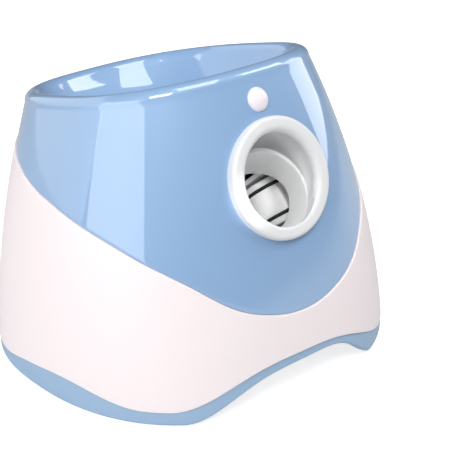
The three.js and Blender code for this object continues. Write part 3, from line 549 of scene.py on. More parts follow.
def centred(tree, value, centre, spread):
    """Centre plus spread times how far a 0 to 1 value is from its middle."""
    lean = tree.nodes.new("ShaderNodeMath")
    lean.operation = "SUBTRACT"
    lean.inputs[1].default_value = 0.5
    scaled = tree.nodes.new("ShaderNodeMath")
    scaled.operation = "MULTIPLY_ADD"
    tree.links.new(value, lean.inputs[0])
    tree.links.new(lean.outputs[0], scaled.inputs[0])
    tree.links.new(spread, scaled.inputs[1])
    if isinstance(centre, (int, float)):
        scaled.inputs[2].default_value = centre
    else:
        tree.links.new(centre, scaled.inputs[2])
    return scaled.outputs[0]


def tinted(tree, colour, value):
    """A colour made lighter or darker by a value around 1."""
    shade = tree.nodes.new("ShaderNodeVectorMath")
    shade.operation = "SCALE"
    tree.links.new(colour, shade.inputs[0])
    tree.links.new(value, shade.inputs["Scale"])
    return shade.outputs[0]


def moulded_skin_group():
    """Injection-moulded plastic: slow changes of tone and gloss, and a fine grain."""
    group, given, out = group_with(
        "moulded_skin",
        [("Vector", "Vector"), ("Colour", "Color"), ("Tone Spread", "Float"), ("Roughness", "Float"),
         ("Gloss Spread", "Float"), ("Grain Scale", "Float")],
        [("Colour", "Color"), ("Roughness", "Float"), ("Height", "Float")],
    )
    vector = given.outputs["Vector"]
    tone = centred(group, noise(group, vector, 14, 3), 1, given.outputs["Tone Spread"])
    clouds = noise(group, vector, 55, 4)
    gloss = centred(group, clouds, given.outputs["Roughness"], given.outputs["Gloss Spread"])
    grain = noise(group, vector, given.outputs["Grain Scale"], 2)
    group.links.new(tinted(group, given.outputs["Colour"], tone), out.inputs["Colour"])
    group.links.new(gloss, out.inputs["Roughness"])
    group.links.new(grain, out.inputs["Height"])
    return group


def drawn_metal_group():
    """Metal with fine lines along one direction: the vector is stretched before it comes in."""
    group, given, out = group_with(
        "drawn_metal",
        [("Vector", "Vector"), ("Colour", "Color"), ("Tone Spread", "Float"), ("Roughness", "Float"),
         ("Gloss Spread", "Float")],
        [("Colour", "Color"), ("Roughness", "Float"), ("Height", "Float")],
    )
    lines = noise(group, given.outputs["Vector"], 900, 3, 0.7)
    tone = centred(group, lines, 1, given.outputs["Tone Spread"])
    gloss = centred(group, lines, given.outputs["Roughness"], given.outputs["Gloss Spread"])
    group.links.new(tinted(group, given.outputs["Colour"], tone), out.inputs["Colour"])
    group.links.new(gloss, out.inputs["Roughness"])
    group.links.new(lines, out.inputs["Height"])
    return group


MOULDED_SKIN = moulded_skin_group()
DRAWN_METAL = drawn_metal_group()


# Materials.
def linear(red, green, blue):
    """Written colour (0 to 255) as the shader's own values."""
    return [(c / 255 / 12.92) if c <= 10 else ((c / 255 + 0.055) / 1.055) ** 2.4 for c in (red, green, blue)]


def new_material(name, colour):
    material = bpy.data.materials.new(name)
    material.use_nodes = True
    material.diffuse_color = (*linear(*colour), 1)
    nodes = material.node_tree.nodes
    return material, nodes, material.node_tree.links, nodes["Principled BSDF"]


def group_node(nodes, group, colour, values):
    node = nodes.new("ShaderNodeGroup")
    node.node_tree = group
    node.inputs["Colour"].default_value = (*linear(*colour), 1)
    for key, value in values.items():
        node.inputs[key].default_value = value
    return node


def bump(nodes, links, height, normal, strength, distance):
    node = nodes.new("ShaderNodeBump")
    node.inputs["Strength"].default_value = strength
    node.inputs["Distance"].default_value = distance
    links.new(height, node.inputs["Height"])
    links.new(node.outputs["Normal"], normal)
    return node


def plastic(name, colour, roughness, tone=0.04, gloss=0.05, grain=900, depth=0.05, ior=1.54):
    material, nodes, links, shader = new_material(name, colour)
    place = nodes.new("ShaderNodeTexCoord")
    skin_node = group_node(nodes, MOULDED_SKIN, colour, {
        "Tone Spread": tone, "Roughness": roughness, "Gloss Spread": gloss, "Grain Scale": grain,
    })
    links.new(place.outputs["Object"], skin_node.inputs["Vector"])
    links.new(skin_node.outputs["Colour"], shader.inputs["Base Color"])
    links.new(skin_node.outputs["Roughness"], shader.inputs["Roughness"])
    bump(nodes, links, skin_node.outputs["Height"], shader.inputs["Normal"], depth, 0.1 * MM)
    shader.inputs["IOR"].default_value = ior
    return material


def lacquered(material, tint, coat_ior):
    """A clear, sharply reflecting layer over a softer sheen of this tint."""
    shader = material.node_tree.nodes["Principled BSDF"]
    shader.inputs["Specular Tint"].default_value = (*tint, 1)
    shader.inputs["Coat Weight"].default_value = 1
    shader.inputs["Coat Roughness"].default_value = 0.04
    shader.inputs["Coat IOR"].default_value = coat_ior
    return material


def metal(name, colour, roughness, stretch=(1, 1, 0.04), tone=0.25, gloss=0.15, depth=0.1):
    material, nodes, links, shader = new_material(name, colour)
    place = nodes.new("ShaderNodeTexCoord")
    drawn = nodes.new("ShaderNodeMapping")
    drawn.inputs["Scale"].default_value = stretch
    lines = group_node(nodes, DRAWN_METAL, colour, {
        "Tone Spread": tone, "Roughness": roughness, "Gloss Spread": gloss,
    })
    links.new(place.outputs["Object"], drawn.inputs["Vector"])
    links.new(drawn.outputs["Vector"], lines.inputs["Vector"])
    links.new(lines.outputs["Colour"], shader.inputs["Base Color"])
    links.new(lines.outputs["Roughness"], shader.inputs["Roughness"])
    bump(nodes, links, lines.outputs["Height"], shader.inputs["Normal"], depth, 0.1 * MM)
    shader.inputs["Metallic"].default_value = 1
    return material


def lens_plastic(name, colour):
    """Milky sensor dome with shallow lens facets that show as soft mottling."""
    material, nodes, links, shader = new_material(name, colour)
    place = nodes.new("ShaderNodeTexCoord")
    facets = nodes.new("ShaderNodeTexVoronoi")
    facets.inputs["Scale"].default_value = 420
    skin_node = group_node(nodes, MOULDED_SKIN, colour, {
        "Tone Spread": 0.1, "Roughness": 0.3, "Gloss Spread": 0.1, "Grain Scale": 700,
    })
    links.new(place.outputs["Object"], facets.inputs["Vector"])
    links.new(place.outputs["Object"], skin_node.inputs["Vector"])
    links.new(skin_node.outputs["Colour"], shader.inputs["Base Color"])
    links.new(skin_node.outputs["Roughness"], shader.inputs["Roughness"])
    bump(nodes, links, facets.outputs["Distance"], shader.inputs["Normal"], 0.25, 0.5 * MM)
    shader.inputs["Subsurface Weight"].default_value = 0.1
    shader.inputs["Subsurface Scale"].default_value = 2 * MM
    return material


def circuit_board(name, colour, trace):
    """Solder mask with a grid of paler traces under it."""
    material, nodes, links, shader = new_material(name, colour)
    place = nodes.new("ShaderNodeTexCoord")
    grid = nodes.new("ShaderNodeTexBrick")
    grid.inputs["Scale"].default_value = 160
    grid.inputs["Mortar Size"].default_value = 0.03
    grid.inputs["Color1"].default_value = (*linear(*colour), 1)
    grid.inputs["Color2"].default_value = (*[0.7 * c for c in linear(*colour)], 1)
    grid.inputs["Mortar"].default_value = (*linear(*trace), 1)
    links.new(place.outputs["Object"], grid.inputs["Vector"])
    links.new(grid.outputs["Color"], shader.inputs["Base Color"])
    bump(nodes, links, grid.outputs["Fac"], shader.inputs["Normal"], 0.3, 0.05 * MM)
    shader.inputs["Roughness"].default_value = 0.35
    return material


BLUE_BODY = plastic(
    "blue_gloss_plastic", (140, 174, 214), 0.5, tone=0.03, gloss=0.05, grain=380, depth=0.012, ior=1.8,
)
BLUE_GLOSS = lacquered(BLUE_BODY, tint=(0.75, 0.9, 1.0), coat_ior=1.75)
BLUE_SATIN = plastic(
    "blue_satin_plastic", (150, 180, 210), 0.42, tone=0.05, gloss=0.08, grain=2200, depth=0.12,
)
WHITE_SATIN = plastic(
    "white_satin_plastic", (244, 234, 236), 0.4, tone=0.02, gloss=0.08, grain=2200, depth=0.08,
)
NOZZLE_WHITE = plastic(
    "nozzle_white_plastic", (228, 229, 230), 0.36, tone=0.02, gloss=0.06, grain=2000, depth=0.06,
)
BARREL_GREY = plastic(
    "barrel_grey_plastic", (250, 250, 250), 0.4, tone=0.03, gloss=0.06, grain=1800, depth=0.08,
)
# The frame's grey made paler for the roller brackets: painted light that lifts the shade they sit in beside
# the barrel windows.
BRACKET_PAINTED_LIGHT_GREY = plastic(
    "bracket_grey_painted_light_plastic", (226, 227, 229), 0.45, tone=0.05, gloss=0.08, grain=1600, depth=0.12,
)
FRAME_GREY = plastic(
    "frame_grey_plastic", (176, 178, 182), 0.5, tone=0.06, gloss=0.08, grain=1600, depth=0.15,
)
DRUM_WHITE = plastic(
    "drum_white_plastic", (254, 254, 254), 0.22, tone=0.03, gloss=0.05, grain=900, depth=0.03,
)
BLACK_RUBBER = plastic("black_rubber", (26, 26, 28), 0.62, tone=0.2, gloss=0.15, grain=2600, depth=0.35)
SOCKET_BLACK = plastic("socket_black_plastic", (32, 33, 35), 0.35, tone=0.1, gloss=0.1, grain=1800, depth=0.1)
NYLON = plastic("gear_nylon", (231, 228, 214), 0.45, tone=0.05, gloss=0.08, grain=1500, depth=0.1)
CELL_GREY = plastic("cell_sleeve", (62, 68, 74), 0.3, tone=0.12, gloss=0.08, grain=700, depth=0.04)
SENSOR_MILK = lens_plastic("sensor_milk_plastic", (240, 234, 243))
STEEL = metal("drawn_steel", (176, 180, 184), 0.34)
BRASS = metal("turned_brass", (196, 160, 98), 0.3)
BOARD = circuit_board("circuit_board", (30, 92, 58), (96, 140, 90))


def dress(piece, material, replaced=(), body="casing", smooth=35):
    """Gives a finished piece its material, its body and the nodes that it stands for."""
    pick(piece)
    piece.data.materials.clear()
    piece.data.materials.append(material)
    bpy.ops.object.shade_smooth_by_angle(angle=smooth * DEGREE, keep_sharp_edges=True)
    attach(piece, body)
    if replaced:
        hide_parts(*replaced)
    return piece


# Casing.
def upper_casing():
    def section(angle):
        seam = seam_height(angle) + SEAM_GAP
        top = rim_edge(angle).z
        turn, line = funnel_line(angle)
        eased = [
            skin(angle, seam + EDGE_EASE * (1 - math.cos(t)), -EDGE_EASE * (1 - math.sin(t)))
            for t in quarter(4)
        ]
        outer = [skin(angle, between(seam + EDGE_EASE, top, s)) for s in shares(36)[1:]]
        roll = [lip(angle, turn * s, LIP_RADIUS) for s in shares(20)[1:]]
        flange = [on_funnel(line, LIP_SHARE * s) for s in shares(4)[1:]]
        under = [under_funnel(line, LIP_SHARE, WALL)]
        under += [lip(angle, turn * (1 - s), LIP_RADIUS - WALL) for s in shares(8)]
        inner = [skin(angle, between(top, seam, s), -WALL) for s in shares(12)[1:]]
        return eased + outer + roll + flange + under + inner

    piece = ring_round_body("upper_casing", section)
    nozzle_hole = bar("cutter", FLANGE_RADIUS - 1.4 * MM, -20 * MM, 20 * MM, NOZZLE)
    barrel_room = bar("cutter", BARREL_RADIUS + SHELL_GAP, -40 * MM, 2 * MM, LAUNCH @ BACKWARD)
    sensor_hole = bar("cutter", SENSOR_RADIUS - 1.4 * MM, -12 * MM, 12 * MM, SENSOR, 48)
    cut_away(piece, nozzle_hole, barrel_room, sensor_hole)
    return dress(piece, BLUE_GLOSS, ["upper_shell"])


def hopper_funnel():
    def section(angle):
        line = funnel_line(angle)[1]
        start = LIP_SHARE + JOINT_GAP / (2 * (line[1] - line[0]).length)
        inner = [on_funnel(line, between(start, 1, s)) for s in shares(32)]
        outer = [under_funnel(line, between(start, 1, s), BOWL_WALL) for s in shares(16)]
        side, ahead = math.sin(angle), math.cos(angle)
        collar = THROAT_Z - THROAT_COLLAR
        round_off = []
        for turn in quarter(4):
            reach = THROAT_RADIUS + BOWL_EASE * (1 - math.cos(turn))
            height = collar + BOWL_EASE * (1 - math.sin(turn))
            round_off.append(Vector((reach * side, THROAT_Y - reach * ahead, height)))
        reach = THROAT_RADIUS + BOWL_WALL
        return inner + round_off + [Vector((reach * side, THROAT_Y - reach * ahead, collar))] + outer[-2::-1]

    piece = ring_round_body("hopper_funnel", section)
    return dress(piece, BLUE_GLOSS, ["hopper_bowl"])


def lower_casing():
    def section(angle):
        low = band_top(angle) + SEAM_GAP
        high = seam_height(angle) - SEAM_GAP
        outer = [skin(angle, between(low, high, s), WHITE_PROUD) for s in shares(28)]
        inner = [skin(angle, between(high, low, s), WHITE_INNER) for s in shares(10)]
        return outer + inner

    piece = ring_round_body("lower_casing", section)
    ease_edges(piece, EDGE_EASE, 3, 50)
    panel_hole = prism(
        "cutter", stadium(PANEL_HALF_WIDTH + SHELL_GAP, PANEL_HALF_HEIGHT + SHELL_GAP), 30 * MM,
        PANEL @ Matrix.Translation((0, 0, -20 * MM)),
    )
    jack_hole = bar("cutter", JACK_RADIUS + SHELL_GAP, -20 * MM, 10 * MM, JACK, 48)
    cut_away(piece, panel_hole, jack_hole)
    return dress(piece, WHITE_SATIN, ["lower_shell"])


def foot_band():
    def section(angle):
        low, high = band_bottom(angle), band_top(angle) - SEAM_GAP
        round_off = [
            skin(angle, low + BAND_EASE * (1 - math.sin(turn)), -BAND_EASE * (1 - math.cos(turn)))
            for turn in (math.pi / 2 * (1 - s) for s in shares(6))
        ]
        outer = [skin(angle, between(low + BAND_EASE, high, s)) for s in shares(10)[1:]]
        inner = [skin(angle, between(high, low, s), BAND_INNER) for s in shares(6)]
        return round_off + outer + inner

    piece = ring_round_body("foot_band", section)
    ease_edges(piece, EDGE_EASE, 2, 50)
    return dress(piece, BLUE_SATIN, ["base_band"])


def plate_edge(angle):
    nearby = [band_top(angle + k * 0.14) + TONGUE_HEIGHT for k in (-1, 0, 1)]
    beside_band = max(nearby) > PLATE_BOTTOM - SHELL_GAP
    return skin(angle, PLATE_TOP, BAND_INNER - 2 * SHELL_GAP if beside_band else WHITE_INNER - PLATE_ROOM)


def base_floor():
    outline = [plate_edge(2 * math.pi * i / 176).xy for i in range(176)]
    lift = Matrix.Translation((0, 0, PLATE_BOTTOM))
    plate = prism("base_floor", outline, PLATE_TOP - PLATE_BOTTOM, lift)
    half = DOOR["half"] - DOOR_REST["side"]
    front = DOOR["front"] + DOOR_REST["end"]
    rear = DOOR["rear"] - DOOR_REST["end"]
    cut_away(plate, block("cutter", (-half, half), (front, rear), (PLATE_BOTTOM - MM, PLATE_TOP + MM)))
    post_low = FOOT_HEIGHT + SHELL_GAP
    into_plate = PLATE_BOTTOM + 0.2 * MM
    post_outline = [
        (POST_RADIUS - 0.8 * MM, post_low), (POST_RADIUS, post_low + 0.8 * MM),
        (POST_RADIUS, PLATE_BOTTOM - 2 * MM), (POST_RADIUS + 2 * MM, into_plate),
        (0, into_plate), (0, post_low),
    ]
    posts = [
        lathe("post", post_outline, Matrix.Translation((x, y, 0)), 64)
        for x, y in FOOT_SPOTS.values()
    ]
    lip_top = DOOR["bottom"] - SHELL_GAP
    lip_bottom = lip_top - DOOR_RAIL["thick"]
    rails = []
    for side in (-1, 1):
        inner = DOOR["half"] + SHELL_GAP
        outer = side * (inner + DOOR_RAIL["width"])
        ends = (DOOR["front"], DOOR["rear"])
        wall = sorted((side * inner, outer))
        lip_reach = sorted((side * (inner - DOOR_RAIL["lip"]), outer))
        rails.append(block("rail", wall, ends, (lip_bottom, into_plate)))
        rails.append(block("rail", lip_reach, ends, (lip_bottom, lip_top)))
    ribs = [
        block("rib", (x - 0.8 * MM, x + 0.8 * MM), RIB_ENDS, (PLATE_BOTTOM - 3 * MM, into_plate))
        for x in (-48 * MM, 0, 48 * MM)
    ]
    piece = joined("base_floor", [plate, *posts, *rails, *ribs])
    ease_edges(piece, 0.3 * MM, 1, 50)
    return dress(piece, FRAME_GREY, ["base_plate"])


def foot_pads():
    tread = []
    deep = 0.5 * MM
    for k in range(3):
        groove = (2.2 + 2.1 * k) * MM
        tread += [(groove, 0), (groove + 0.25 * MM, deep), (groove + 0.75 * MM, deep), (groove + MM, 0)]
    outline = [(0, 0), *tread, (FOOT_RADIUS - 0.6 * MM, 0), (FOOT_RADIUS, 0.6 * MM)]
    outline += [(FOOT_RADIUS, FOOT_HEIGHT - 0.4 * MM), (FOOT_RADIUS - 0.4 * MM, FOOT_HEIGHT)]
    outline.append((0, FOOT_HEIGHT))
    pattern = lathe("foot_pattern", outline, UPRIGHT, 64)
    for place, (x, y) in FOOT_SPOTS.items():
        pad = copy_of(pattern, f"rubber_foot_{place}", Matrix.Translation((x, y, 0)))
        dress(pad, BLACK_RUBBER, [f"foot_pad_{place}"])
    bpy.data.objects.remove(pattern)


def base_screws():
    high = PLATE_BOTTOM - SHELL_GAP
    low = high - SCREW_HEAD_HEIGHT
    tip = high + SCREW_LENGTH
    dome = [(SCREW_HEAD * math.sin(turn), low + MM * (1 - math.cos(turn))) for turn in quarter(6)]
    stem = [(SCREW_HEAD, high), (SCREW_SHANK, high), (SCREW_SHANK, tip - MM), (0, tip)]
    pattern = lathe("screw_pattern", dome + stem, UPRIGHT, 32)
    arm, half = 2.0 * MM, 0.45 * MM
    slot_a = block("cutter", (-arm, arm), (-half, half), (low - MM, low + 1.2 * MM))
    slot_b = block("cutter", (-half, half), (-arm, arm), (low - MM, low + 1.2 * MM))
    cut_away(pattern, slot_a, slot_b)
    for place, angle in SCREW_ANGLES.items():
        spot = skin(angle * DEGREE, PLATE_TOP, SCREW_INSET)
        screw = copy_of(pattern, f"cross_screw_{place}", Matrix.Translation((spot.x, spot.y, 0)))
        dress(screw, STEEL, [f"base_screw_{place}"])
    bpy.data.objects.remove(pattern)


# Nozzle and barrel.
def nozzle_flange():
    radius, height = NOZZLE_LIP["radius"], NOZZLE_LIP["height"]
    inside, outside = NOZZLE_LIP["inside"], NOZZLE_LIP["outside"]
    turns = quarter(14)
    inner_edge = [(radius + inside * (1 - math.cos(t)), height - inside * (1 - math.sin(t))) for t in turns]
    outer_edge = [
        (FLANGE_RADIUS - outside * (1 - math.sin(t)), height - outside * (1 - math.cos(t)))
        for t in turns
    ]
    roll = [(NOZZLE_THROAT, -NOZZLE_LIP["slope"]), (radius, -NOZZLE_LIP["under"]), *inner_edge, *outer_edge]
    skirt = FLANGE_RADIUS - FLANGE_WALL
    cup = NOZZLE_THROAT + CUP_WALL
    rest = [
        (FLANGE_RADIUS, -FLANGE_DEPTH), (skirt, -FLANGE_DEPTH), (skirt, -1.5 * MM), (cup, -CUP_WALL),
        (cup, -CUP_DEPTH), (CUP_FLOOR_EDGE + 1.5 * MM, -CUP_FLOOR), (CUP_HOLE, -CUP_FLOOR - CUP_WALL),
        (CUP_HOLE, -CUP_FLOOR), (CUP_FLOOR_EDGE, 2 * MM - CUP_FLOOR), (NOZZLE_THROAT, -CUP_DEPTH),
    ]
    piece = lathe("nozzle_flange", roll + rest, NOZZLE, 160)
    room = bar("cutter", BARREL_RADIUS + 0.05 * MM, -60 * MM, SHELL_GAP, LAUNCH @ BACKWARD, 128)
    bore = bar("cutter", BORE_RADIUS, -MM, 40 * MM, LAUNCH @ BACKWARD, 128)
    cut_away(piece, room, bore)
    return dress(piece, NOZZLE_WHITE, ["nozzle_ring"])


def ball_way():
    """Middle points of the ball's way from the mouth to the hopper, with the way's tilt at each."""
    elbow = Vector((MOUTH_Y, MOUTH_Z)) + ELBOW_BACK * heading(-LAUNCH_ANGLE)
    channel = Vector((THROAT_Y, CHANNEL_Z))
    top = Vector((THROAT_Y, THROAT_Z - THROAT_COLLAR - SHELL_GAP))
    corners = [Vector((MOUTH_Y, MOUTH_Z)), elbow, channel, top]
    tilts = [math.atan2((b - a).y, (b - a).x) for a, b in zip(corners, corners[1:])]
    stations = []
    for corner, before, after in zip(corners[1:], tilts, tilts[1:]):
        start = corner - heading(before) * BEND_RADIUS * math.tan((after - before) / 2)
        for tilt in (between(before, after, s) for s in shares(14)):
            y = start.x + BEND_RADIUS * (math.sin(tilt) - math.sin(before))
            z = start.y - BEND_RADIUS * (math.cos(tilt) - math.cos(before))
            stations.append((Vector((0, y, z)), tilt))
    run = stations[0][0] - Vector((0, *corners[0]))
    first = [(Vector((0, *corners[0])) + run * s, tilts[0]) for s in shares(24)[:-1]]
    return first + stations + [(Vector((0, *top)), tilts[-1])]


def heading(tilt):
    return Vector((math.cos(tilt), math.sin(tilt)))


def launch_barrel():
    way = ball_way()
    mouth, tilt = way[0]
    back = Vector((0, math.cos(tilt), math.sin(tilt)))
    eased = [
        (mouth + back * MOUTH_EASE * (1 - math.cos(t)), tilt, BARREL_RADIUS - MOUTH_EASE * (1 - math.sin(t)))
        for t in quarter(4)
    ]
    outer = [(place, turn, BARREL_RADIUS) for place, turn in way[1:]]
    inner = [(place, turn, BORE_RADIUS) for place, turn in reversed(way)]
    rings = eased + outer + inner

    def section(angle):
        side, up = math.cos(angle), math.sin(angle)
        return [
            place + radius * Vector((side, -up * math.sin(turn), up * math.cos(turn)))
            for place, turn, radius in rings
        ]

    piece = ring_round_body("launch_barrel", section, 112)
    sideways = Matrix.Rotation(math.pi / 2, 4, "Y")
    middle = LAUNCH @ Matrix.Translation((0, WINDOW_BACK, 0)) @ sideways
    windows = bar("cutter", WINDOW_RADIUS, -60 * MM, 60 * MM, middle, 128)
    blade_room = bar(
        "cutter", FEEDER_RADIUS + 1.5 * MM, -FEEDER_HALF - 2 * MM, FEEDER_HALF + 2 * MM,
        Matrix.Translation((0, FEEDER_Y, FEEDER_Z)) @ sideways,
    )
    cut_away(piece, windows, blade_room)
    ease_edges(piece, 0.35 * MM, 2, 50)
    return dress(piece, BARREL_GREY, ["barrel_left", "barrel_right"])


# Roller units.
def drum_outline():
    ease = 0.8 * MM
    hole = SHAFT_RADIUS + 0.1 * MM
    outline = [(hole, -DRUM_HALF), (DRUM_RADIUS - ease, -DRUM_HALF), (DRUM_RADIUS, ease - DRUM_HALF)]
    for middle in (-RING_AT, RING_AT):
        outline += [(DRUM_RADIUS, middle - GROOVE_HALF), (GROOVE_RADIUS, middle - GROOVE_HALF)]
        outline += [(GROOVE_RADIUS, middle + GROOVE_HALF), (DRUM_RADIUS, middle + GROOVE_HALF)]
    edge = [(DRUM_RADIUS, DRUM_HALF - ease), (DRUM_RADIUS - ease, DRUM_HALF)]
    dish = [
        (DRUM_RADIUS - 3 * MM, DRUM_HALF), (DRUM_RADIUS - 3.5 * MM, DRUM_HALF - MM),
        (5 * MM, DRUM_HALF - MM), (4.5 * MM, DRUM_HALF),
    ]
    return outline + edge + dish + [(hole, DRUM_HALF)]


def motor_outline(radius, face, length, nose_radius, nose, hole):
    """A motor can below its face: a nose round the shaft hole, a rolled groove and a rounded end."""
    end = face - length
    return [
        (0, face - 9 * MM), (hole, face - 9 * MM), (hole, nose), (nose_radius, nose), (nose_radius, face),
        (radius - 0.6 * MM, face), (radius, face - 0.6 * MM), (radius, face - 4 * MM),
        (radius - 0.5 * MM, face - 4.6 * MM), (radius - 0.5 * MM, face - 5.6 * MM), (radius, face - 6.2 * MM),
        (radius, end + 2 * MM), (radius - 0.6 * MM, end + 0.6 * MM), (radius - 2 * MM, end),
        (5 * MM, end), (4.5 * MM, end + 0.6 * MM), (0, end + 0.6 * MM),
    ]


def roller_units():
    hole = SHAFT_RADIUS + 0.1 * MM
    face = -BRACKET_HALF - SHELL_GAP
    low, high = BRACKET_HALF - BRACKET_PLATE, BRACKET_HALF
    bush = [
        (hole, low), (BUSH_RADIUS, low), (BUSH_RADIUS, high),
        (BUSH_RADIUS - 0.5 * MM, high + 0.2 * MM), (hole, high),
    ]
    ring = [
        (RING_RADIUS + RING_TUBE * math.cos(2 * math.pi * k / 16), RING_TUBE * math.sin(2 * math.pi * k / 16))
        for k in range(16)
    ]
    shaft_low, shaft_high, ease = -BRACKET_HALF - 8.5 * MM, BRACKET_HALF - SHELL_GAP, 0.3 * MM
    shaft = [
        (0, shaft_low), (SHAFT_RADIUS - ease, shaft_low), (SHAFT_RADIUS, shaft_low + ease),
        (SHAFT_RADIUS, shaft_high - ease), (SHAFT_RADIUS - ease, shaft_high), (0, shaft_high),
    ]
    motor = motor_outline(MOTOR_RADIUS, face, MOTOR_LENGTH, BUSH_RADIUS, face + BRACKET_PLATE, hole)
    for place, side in (("left", -1), ("right", 1)):
        spot = LAUNCH @ Matrix.Translation((side * ROLLER_SIDE, ROLLER_BACK, 0))
        body = f"roller_{place}"
        drum = lathe(f"drum_{place}", drum_outline(), spot, 128)
        ease_edges(drum, 0.15 * MM, 1, 50)
        dress(drum, DRUM_WHITE, [f"roller_drum_{place}"], body)
        for level, lift in (("upper", RING_AT), ("lower", -RING_AT)):
            grip = lathe(f"grip_ring_{level}_{place}", ring, spot @ Matrix.Translation((0, 0, lift)), 96)
            dress(grip, BLACK_RUBBER, [f"roller_ring_{level}_{place}"], body)
        axle = lathe(f"axle_{place}", shaft, spot, 32)
        dress(axle, STEEL, [f"roller_shaft_{place}"], body)
        dress(lathe(f"bush_{place}", bush, spot, 48), BRASS, [f"roller_bush_{place}"])
        can = lathe(f"motor_{place}", motor, spot, 64)
        dress(can, STEEL, [f"roller_motor_{place}"])


# Feeder and cells.
def feed_wheel():
    outline = []
    for k in range(3):
        middle = 2 * math.pi * k / 3
        root = math.asin(FEEDER_BLADE / FEEDER_HUB)
        c, s = math.cos(middle), math.sin(middle)
        valley = 2 * math.pi / 3 - 2 * root
        hub = [middle - root, middle + root] + [middle + root + valley * t for t in shares(8)[1:-1]]
        tip = [
            (FEEDER_RADIUS - FEEDER_BLADE + FEEDER_BLADE * math.cos(turn), FEEDER_BLADE * math.sin(turn))
            for turn in (math.pi * (t - 0.5) for t in shares(6))
        ]
        outline.append((FEEDER_HUB * math.cos(hub[0]), FEEDER_HUB * math.sin(hub[0])))
        outline += [(r * c - t * s, r * s + t * c) for r, t in tip]
        outline += [(FEEDER_HUB * math.cos(turn), FEEDER_HUB * math.sin(turn)) for turn in hub[1:]]
    across = Matrix(((0, 0, 1, 0), (1, 0, 0, 0), (0, 1, 0, 0), (0, 0, 0, 1)))
    place = Matrix.Translation((-FEEDER_HALF, FEEDER_Y, FEEDER_Z)) @ across
    piece = prism("feed_paddles", outline, 2 * FEEDER_HALF, place)
    cut_away(piece, bar("cutter", 3.05 * MM, -MM, 2 * FEEDER_HALF + MM, place, 48))
    ease_edges(piece, 0.4 * MM, 2, 40)
    dress(piece, NYLON, ["feed_rotor"], "feed_wheel")
    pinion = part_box("feed_pinion")
    y, z = (pinion[0].y + pinion[1].y) / 2, (pinion[0].z + pinion[1].z) / 2
    outline = motor_outline(FEED_MOTOR_RADIUS, 0, FEED_MOTOR_LENGTH, 3.4 * MM, 0.2 * MM, 1.55 * MM)
    face_left = Matrix.Translation((FEED_MOTOR_START, y, z)) @ Matrix.Rotation(-math.pi / 2, 4, "Y")
    dress(lathe("feed_motor_can", outline, face_left, 64), STEEL, ["feed_motor"])


def cells():
    half = CELL_LENGTH / 2
    shoulder = half - 1.6 * MM
    outline = [
        (0, -half), (9 * MM, -half), (10 * MM, 0.5 * MM - half), (CELL_RADIUS - 0.8 * MM, 0.5 * MM - half),
        (CELL_RADIUS, 1.3 * MM - half), (CELL_RADIUS, shoulder - 0.8 * MM),
        (CELL_RADIUS - 0.8 * MM, shoulder), (4 * MM, shoulder), (3 * MM, shoulder + 0.5 * MM),
        (3 * MM, half - 0.3 * MM), (2.7 * MM, half), (0, half),
    ]
    pattern = lathe("cell_pattern", outline, UPRIGHT, 64)
    for row, y in enumerate(CELL_ROWS_Y):
        for k in range(3):
            number = row * 3 + k + 1
            turn = Matrix.Rotation(math.pi / 2 * (1 if row == 0 else -1), 4, "Y")
            spot = Matrix.Translation(((k - 1) * CELL_PITCH, y, CELL_Z))
            cell = copy_of(pattern, f"cell_{number}", spot @ turn)
            dress(cell, CELL_GREY, [f"battery_cell_{number}"])
    bpy.data.objects.remove(pattern)


def door():
    ends = (DOOR["front"] + MM, DOOR["rear"] - MM)
    low, high = DOOR["bottom"], DOOR["bottom"] + DOOR["thick"]
    lid = block("door_lid", (-DOOR["half"], DOOR["half"]), ends, (low, high))
    ease_edges(lid, 0.5 * MM, 3, 50)
    grip = (ends[0] + 3 * MM, ends[0] + 19 * MM)
    recess = block("cutter", (-20 * MM, 20 * MM), grip, (low - MM, low + 0.8 * MM))
    cut_away(lid, recess)
    ridges = []
    for k in range(5):
        start = ends[0] + (4.4 + 2.9 * k) * MM
        ridge = block("ridge", (-16 * MM, 16 * MM), (start, start + 1.5 * MM), (low - MM, low + 1.2 * MM))
        ease_edges(ridge, 0.5 * MM, 3, 50)
        ridges.append(ridge)
    piece = joined("door_lid", [lid, *ridges])
    return dress(piece, FRAME_GREY, ["battery_door"], "battery_door")


# Sensor, rear panel and inlet.
def sensor_dome():
    rise, radius = 4.2 * MM, 8 * MM
    dome = [(radius * math.sin(t), rise * math.cos(t) - 0.3 * MM * math.sin(t)) for t in quarter(14)]
    dome[0] = (0, rise)
    inside = [(radius, -4.4 * MM), (6.6 * MM, -4.4 * MM), (6.6 * MM, -0.6 * MM)]
    inside += [(4.6 * MM, 1.4 * MM), (0, 2.6 * MM)]
    piece = lathe("sensor_dome", dome + inside, SENSOR, 64)
    return dress(piece, SENSOR_MILK, ["pir_lens"])


def on_panel(x):
    return PANEL @ Matrix.Translation((x, 0, 0))


